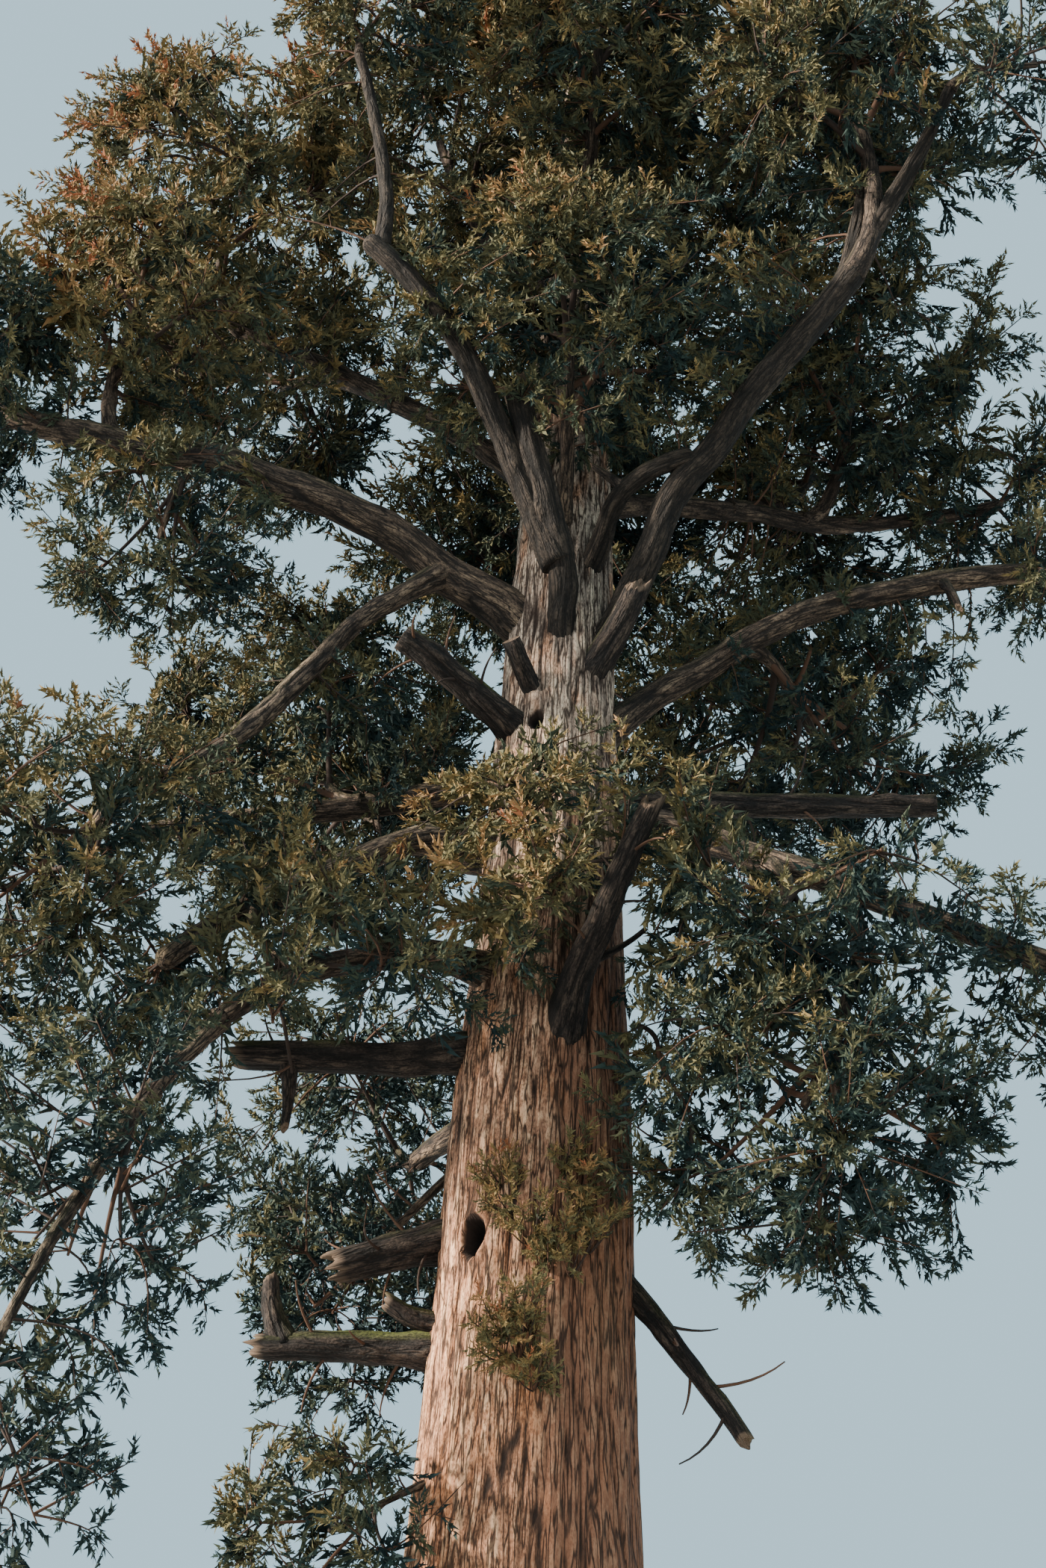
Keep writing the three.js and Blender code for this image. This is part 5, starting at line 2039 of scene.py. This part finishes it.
@dataclass
class Foliage:
    """Everything that replaces the leafy masses: stems, twigs, stalks and plumes."""

    crown: Crown
    stem_sides: int = 18
    stem_step: float = 0.12
    stem_relief: Relief = Relief(0.025, 0.09, 0.5, 3.0, 0.6)
    stem_collar: float = 0.2
    stem_seed: int = 40

    def build_stems(self, finish: Material) -> Piece:
        """Builds the barked stems that carry the masses.

        Args:
            finish: Their material.

        Returns:
            The dressed piece.
        """
        skins = []
        for mass in self.crown.masses:
            size = LimbSize(mass.size.name, mass.size.on, mass.size.at, (0, 0), (0, 0),
                            mass.stem.length(), mass.girth)
            skins.append(Limb(size, mass.stem, 0.0, mass.seed + self.stem_seed,
                              collar=self.stem_collar, sides=self.stem_sides,
                              ring_step=self.stem_step, relief=self.stem_relief,
                              wander=0.0).skin())
        piece = Skin.joined(skins).piece("mass_stems", finish)
        dress(piece, [mass.size.name for mass in self.crown.masses])
        return piece

    def build(self, twig_growth: TwigGrowth, spray_growth: SprayGrowth) -> None:
        """Grows and dresses all twigs and plumes, region by region.

        Args:
            twig_growth: The growth tree of the twigs.
            spray_growth: The growth tree of the plumes.
        """
        main = self.crown.main_twigs()
        branchlets = Twigs.joined((self.crown.branchlets(main), self.crown.trunk_tufts()))
        sprays = self.crown.sprays(branchlets)
        plumes = self.crown.plumes(sprays)
        log.info("%d main twigs, %d branchlets, %d sprays, %d plumes", len(main.root),
                 len(branchlets.root), len(sprays.root), len(plumes.foot))
        every = [size.name for size in MASSES]
        TwigPiece("main_twigs", main, 8, 8).build(twig_growth, every, Slot.LEAF)
        TwigPiece("branchlets", branchlets, 5, 3).build(twig_growth, every, Slot.LEAF)
        for region in Region:
            places = [k for k, size in enumerate(MASSES) if size.region is region]
            names = [MASSES[k].name for k in places]
            stalks = sprays.kept(np.isin(sprays.own, places))
            TwigPiece("stalks_" + region.value, stalks, 1, 3).build(twig_growth, names, Slot.LEAF)
            leaves = plumes.kept(np.isin(plumes.own, places))
            piece = base_object("leaves_" + region.value, leaves.foot, np.empty((0, 2)), {
                "aim": ("FLOAT_VECTOR", leaves.aim), "spin": ("FLOAT", leaves.spin),
                "size": ("FLOAT", leaves.size), "kind": ("INT", leaves.kind),
                "tint": ("INT", leaves.tint)})
            spray_growth.run(piece, {"Plume Scale": 1.0})
            dress(piece, names)


@dataclass
class BareTwigs:
    """The thin dead twigs: the winding one right of the trunk and stubs on the dead limbs."""

    winding: tuple[Triple, ...] = ((1.35, -0.5, 13.9), (1.59, -0.9, 13.64), (1.62, -0.95, 13.1),
                                   (1.91, -1.0, 12.61), (1.98, -1.0, 12.29), (1.85, -0.9, 11.67),
                                   (1.34, -0.8, 11.22))
    winding_girth: float = 0.03
    winding_taper: float = 0.95
    stubs_per_limb: int = 6
    stub_span: Pair = (0.45, 0.52)
    stub_turn: int = 50
    stub_lead: float = 0.4
    stub_long: Pair = (0.3, 0.55)
    stub_bow: float = 0.2
    stub_girth: float = 0.022
    stub_taper: float = 0.35

    def twigs(self, limbs: dict[str, Limb]) -> Twigs:
        """Lists the bare twigs.

        Args:
            limbs: The limbs by name.

        Returns:
            The twigs.
        """
        path = np.array(self.winding)
        middle = (path[:-1] + path[1:]) / 2
        starts = np.concatenate((path[:1], middle[1:-1]))
        lots = [Twigs(starts, path[1:-1], middle[1:], self.winding_girth, self.winding_taper)]
        first, span = self.stub_span
        short, more = self.stub_long
        for limb in limbs.values():
            if not limb.size.dead or limb.size.stands_for:
                continue
            k = np.arange(self.stubs_per_limb)
            place = k + chance(limb.seed, k, Draw.STUB_PLACE)
            part = first + span * place / self.stubs_per_limb
            root, lead = limb.way.at(part), limb.way.heading(part)
            side, over = square_to(lead)
            turn = np.radians(k * GOLDEN_ANGLE + limb.seed * self.stub_turn)[:, None]
            aim = unit(lead * self.stub_lead + side * np.cos(turn) + over * np.sin(turn))
            long = (short + more * chance(limb.seed, k, Draw.STUB_LENGTH))[:, None]
            end = root + aim * (long + limb.radius(part)[:, None])
            bend = (root + end) / 2 + lead * long * self.stub_bow
            lots.append(Twigs(root, bend, end, self.stub_girth, self.stub_taper))
        return Twigs.joined(lots)


@dataclass(frozen=True)
class Sun:
    """One soft distant light: where it shines from, its strength, width in degrees and colour."""

    name: str
    way: Triple
    energy: float
    width: float
    tone: Triple


@dataclass
class Studio:
    """The floor, the soft light and the camera at the photograph's viewing angle."""

    camera_place: Triple = CAMERA_PLACE
    pitch: float = 35.0
    roll: float = 1.3
    lens: float = 50.0
    sensor: float = 36.0
    floor_width: float = 160.0
    floor_drop: float = 0.01
    floor_tone: Triple = (0.62, 0.62, 0.6)
    floor_roughness: float = 0.9
    farthest: float = 400
    world_tone: Triple = (0.57, 0.84, 0.98)
    world_strength: float = 1.04
    suns: tuple[Sun, ...] = (
        Sun("key_light", (-0.93, -0.25, 0.28), 19.0, 5, (1.0, 0.9, 0.76)),
        Sun("fill_light", (-0.57, -0.63, 0.53), 2.0, 20, (1.0, 0.95, 0.87)),
    )

    def set_camera(self) -> None:
        """Puts the camera where the photograph was taken from."""
        data = bpy.data.cameras.new("photo_camera")
        data.lens = self.lens
        data.sensor_width = self.sensor
        data.clip_end = self.farthest
        camera = bpy.data.objects.new("photo_camera", data)
        turn = (Matrix.Rotation(math.radians(90 + self.pitch), 4, "X")
                @ Matrix.Rotation(math.radians(self.roll), 4, "Z"))
        camera.matrix_world = Matrix.Translation(Vector(self.camera_place)) @ turn
        bpy.context.scene.collection.objects.link(camera)
        bpy.context.scene.camera = camera

    def add_sun(self, sun: Sun) -> None:
        """Adds one light.

        Args:
            sun: What it is like.
        """
        data = bpy.data.lights.new(sun.name, "SUN")
        data.energy = sun.energy
        data.angle = math.radians(sun.width)
        data.color = sun.tone
        light = bpy.data.objects.new(sun.name, data)
        light.rotation_euler = Vector(sun.way).to_track_quat("Z", "Y").to_euler()
        bpy.context.scene.collection.objects.link(light)

    def add_floor(self) -> None:
        """Lays the plain pale floor."""
        half, low = self.floor_width / 2, -self.floor_drop
        mesh = bpy.data.meshes.new("studio_floor")
        mesh.from_pydata([(-half, -half, low), (half, -half, low), (half, half, low),
                          (-half, half, low)], [], [(0, 1, 2, 3)])
        floor = bpy.data.objects.new("studio_floor", mesh)
        material = bpy.data.materials.new("pale_floor")
        material.use_nodes = True
        work = Wiring(material.node_tree)
        shader = work.add("ShaderNodeBsdfPrincipled", Base_Color=(*self.floor_tone, 1.0),
                          Roughness=self.floor_roughness)
        work.add("ShaderNodeOutputMaterial", Surface=shader.outputs[0])
        mesh.materials.append(material)
        bpy.context.scene.collection.objects.link(floor)

    def set_world(self) -> None:
        """Makes the even pale backdrop that fills the shadows."""
        world = bpy.data.worlds.new("pale_studio")
        world.use_nodes = True
        work = Wiring(world.node_tree)
        light = work.add("ShaderNodeBackground", Color=(*self.world_tone, 1.0),
                         Strength=self.world_strength)
        work.add("ShaderNodeOutputWorld", Surface=light.outputs[0])
        bpy.context.scene.world = world

    def build(self) -> None:
        """Sets up the whole studio."""
        self.set_camera()
        for sun in self.suns:
            self.add_sun(sun)
        self.add_floor()
        self.set_world()


def plume_collection() -> bpy.types.Collection:
    """Builds the plume outlines in a collection of their own.

    Returns:
        The collection.
    """
    shelf = bpy.data.collections.new("plume_outlines")
    bpy.context.scene.collection.children.link(shelf)
    for outline in PLUMES:
        shelf.objects.link(outline.build())
    return shelf


def clear_shelf(shelf: bpy.types.Collection) -> None:
    """Throws away the plume outlines once they are scattered."""
    for outline in list(shelf.objects):
        bpy.data.objects.remove(outline)
    bpy.data.collections.remove(shelf)


def write_sizes() -> None:
    """Brings the view layer up to date."""
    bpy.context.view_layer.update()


def main() -> None:
    """Builds the tree and its studio, piece by piece."""
    logging.basicConfig(level=logging.INFO, format="%(name)s: %(message)s")
    fibre = BarkFibre()
    limb_bark, dead_bark = LIMB_BARK.material(fibre), DEAD_BARK.material(fibre)
    shaded_bark = SHADED_BARK.material(fibre)
    trunk = Trunk()
    trunk.build(TRUNK_BARK.material(fibre))
    limbs = place_limbs(trunk)
    for limb in limbs.values():
        living_bark = shaded_bark if limb.size.name in SHADED_LIMBS else limb_bark
        limb.build(dead_bark if limb.size.dead else living_bark,
                   Slot.DEAD if limb.size.dead else Slot.LIMB)
    foliage = Foliage(Crown(trunk, limbs, place_masses(trunk, limbs)))
    foliage.build_stems(limb_bark)
    twig_growth = TwigGrowth([tint.material() for tint in TWIG_TINTS])
    TwigPiece("bare_twigs", BareTwigs().twigs(limbs), 6, 6).build(
        twig_growth, [size.name for size in LIMBS if size.dead], Slot.DEAD)
    shelf = plume_collection()
    foliage.build(twig_growth, SprayGrowth(shelf, [tint.material() for tint in LEAF_TINTS]))
    clear_shelf(shelf)
    Studio().build()
    write_sizes()


if __name__ == "__main__":
    main()
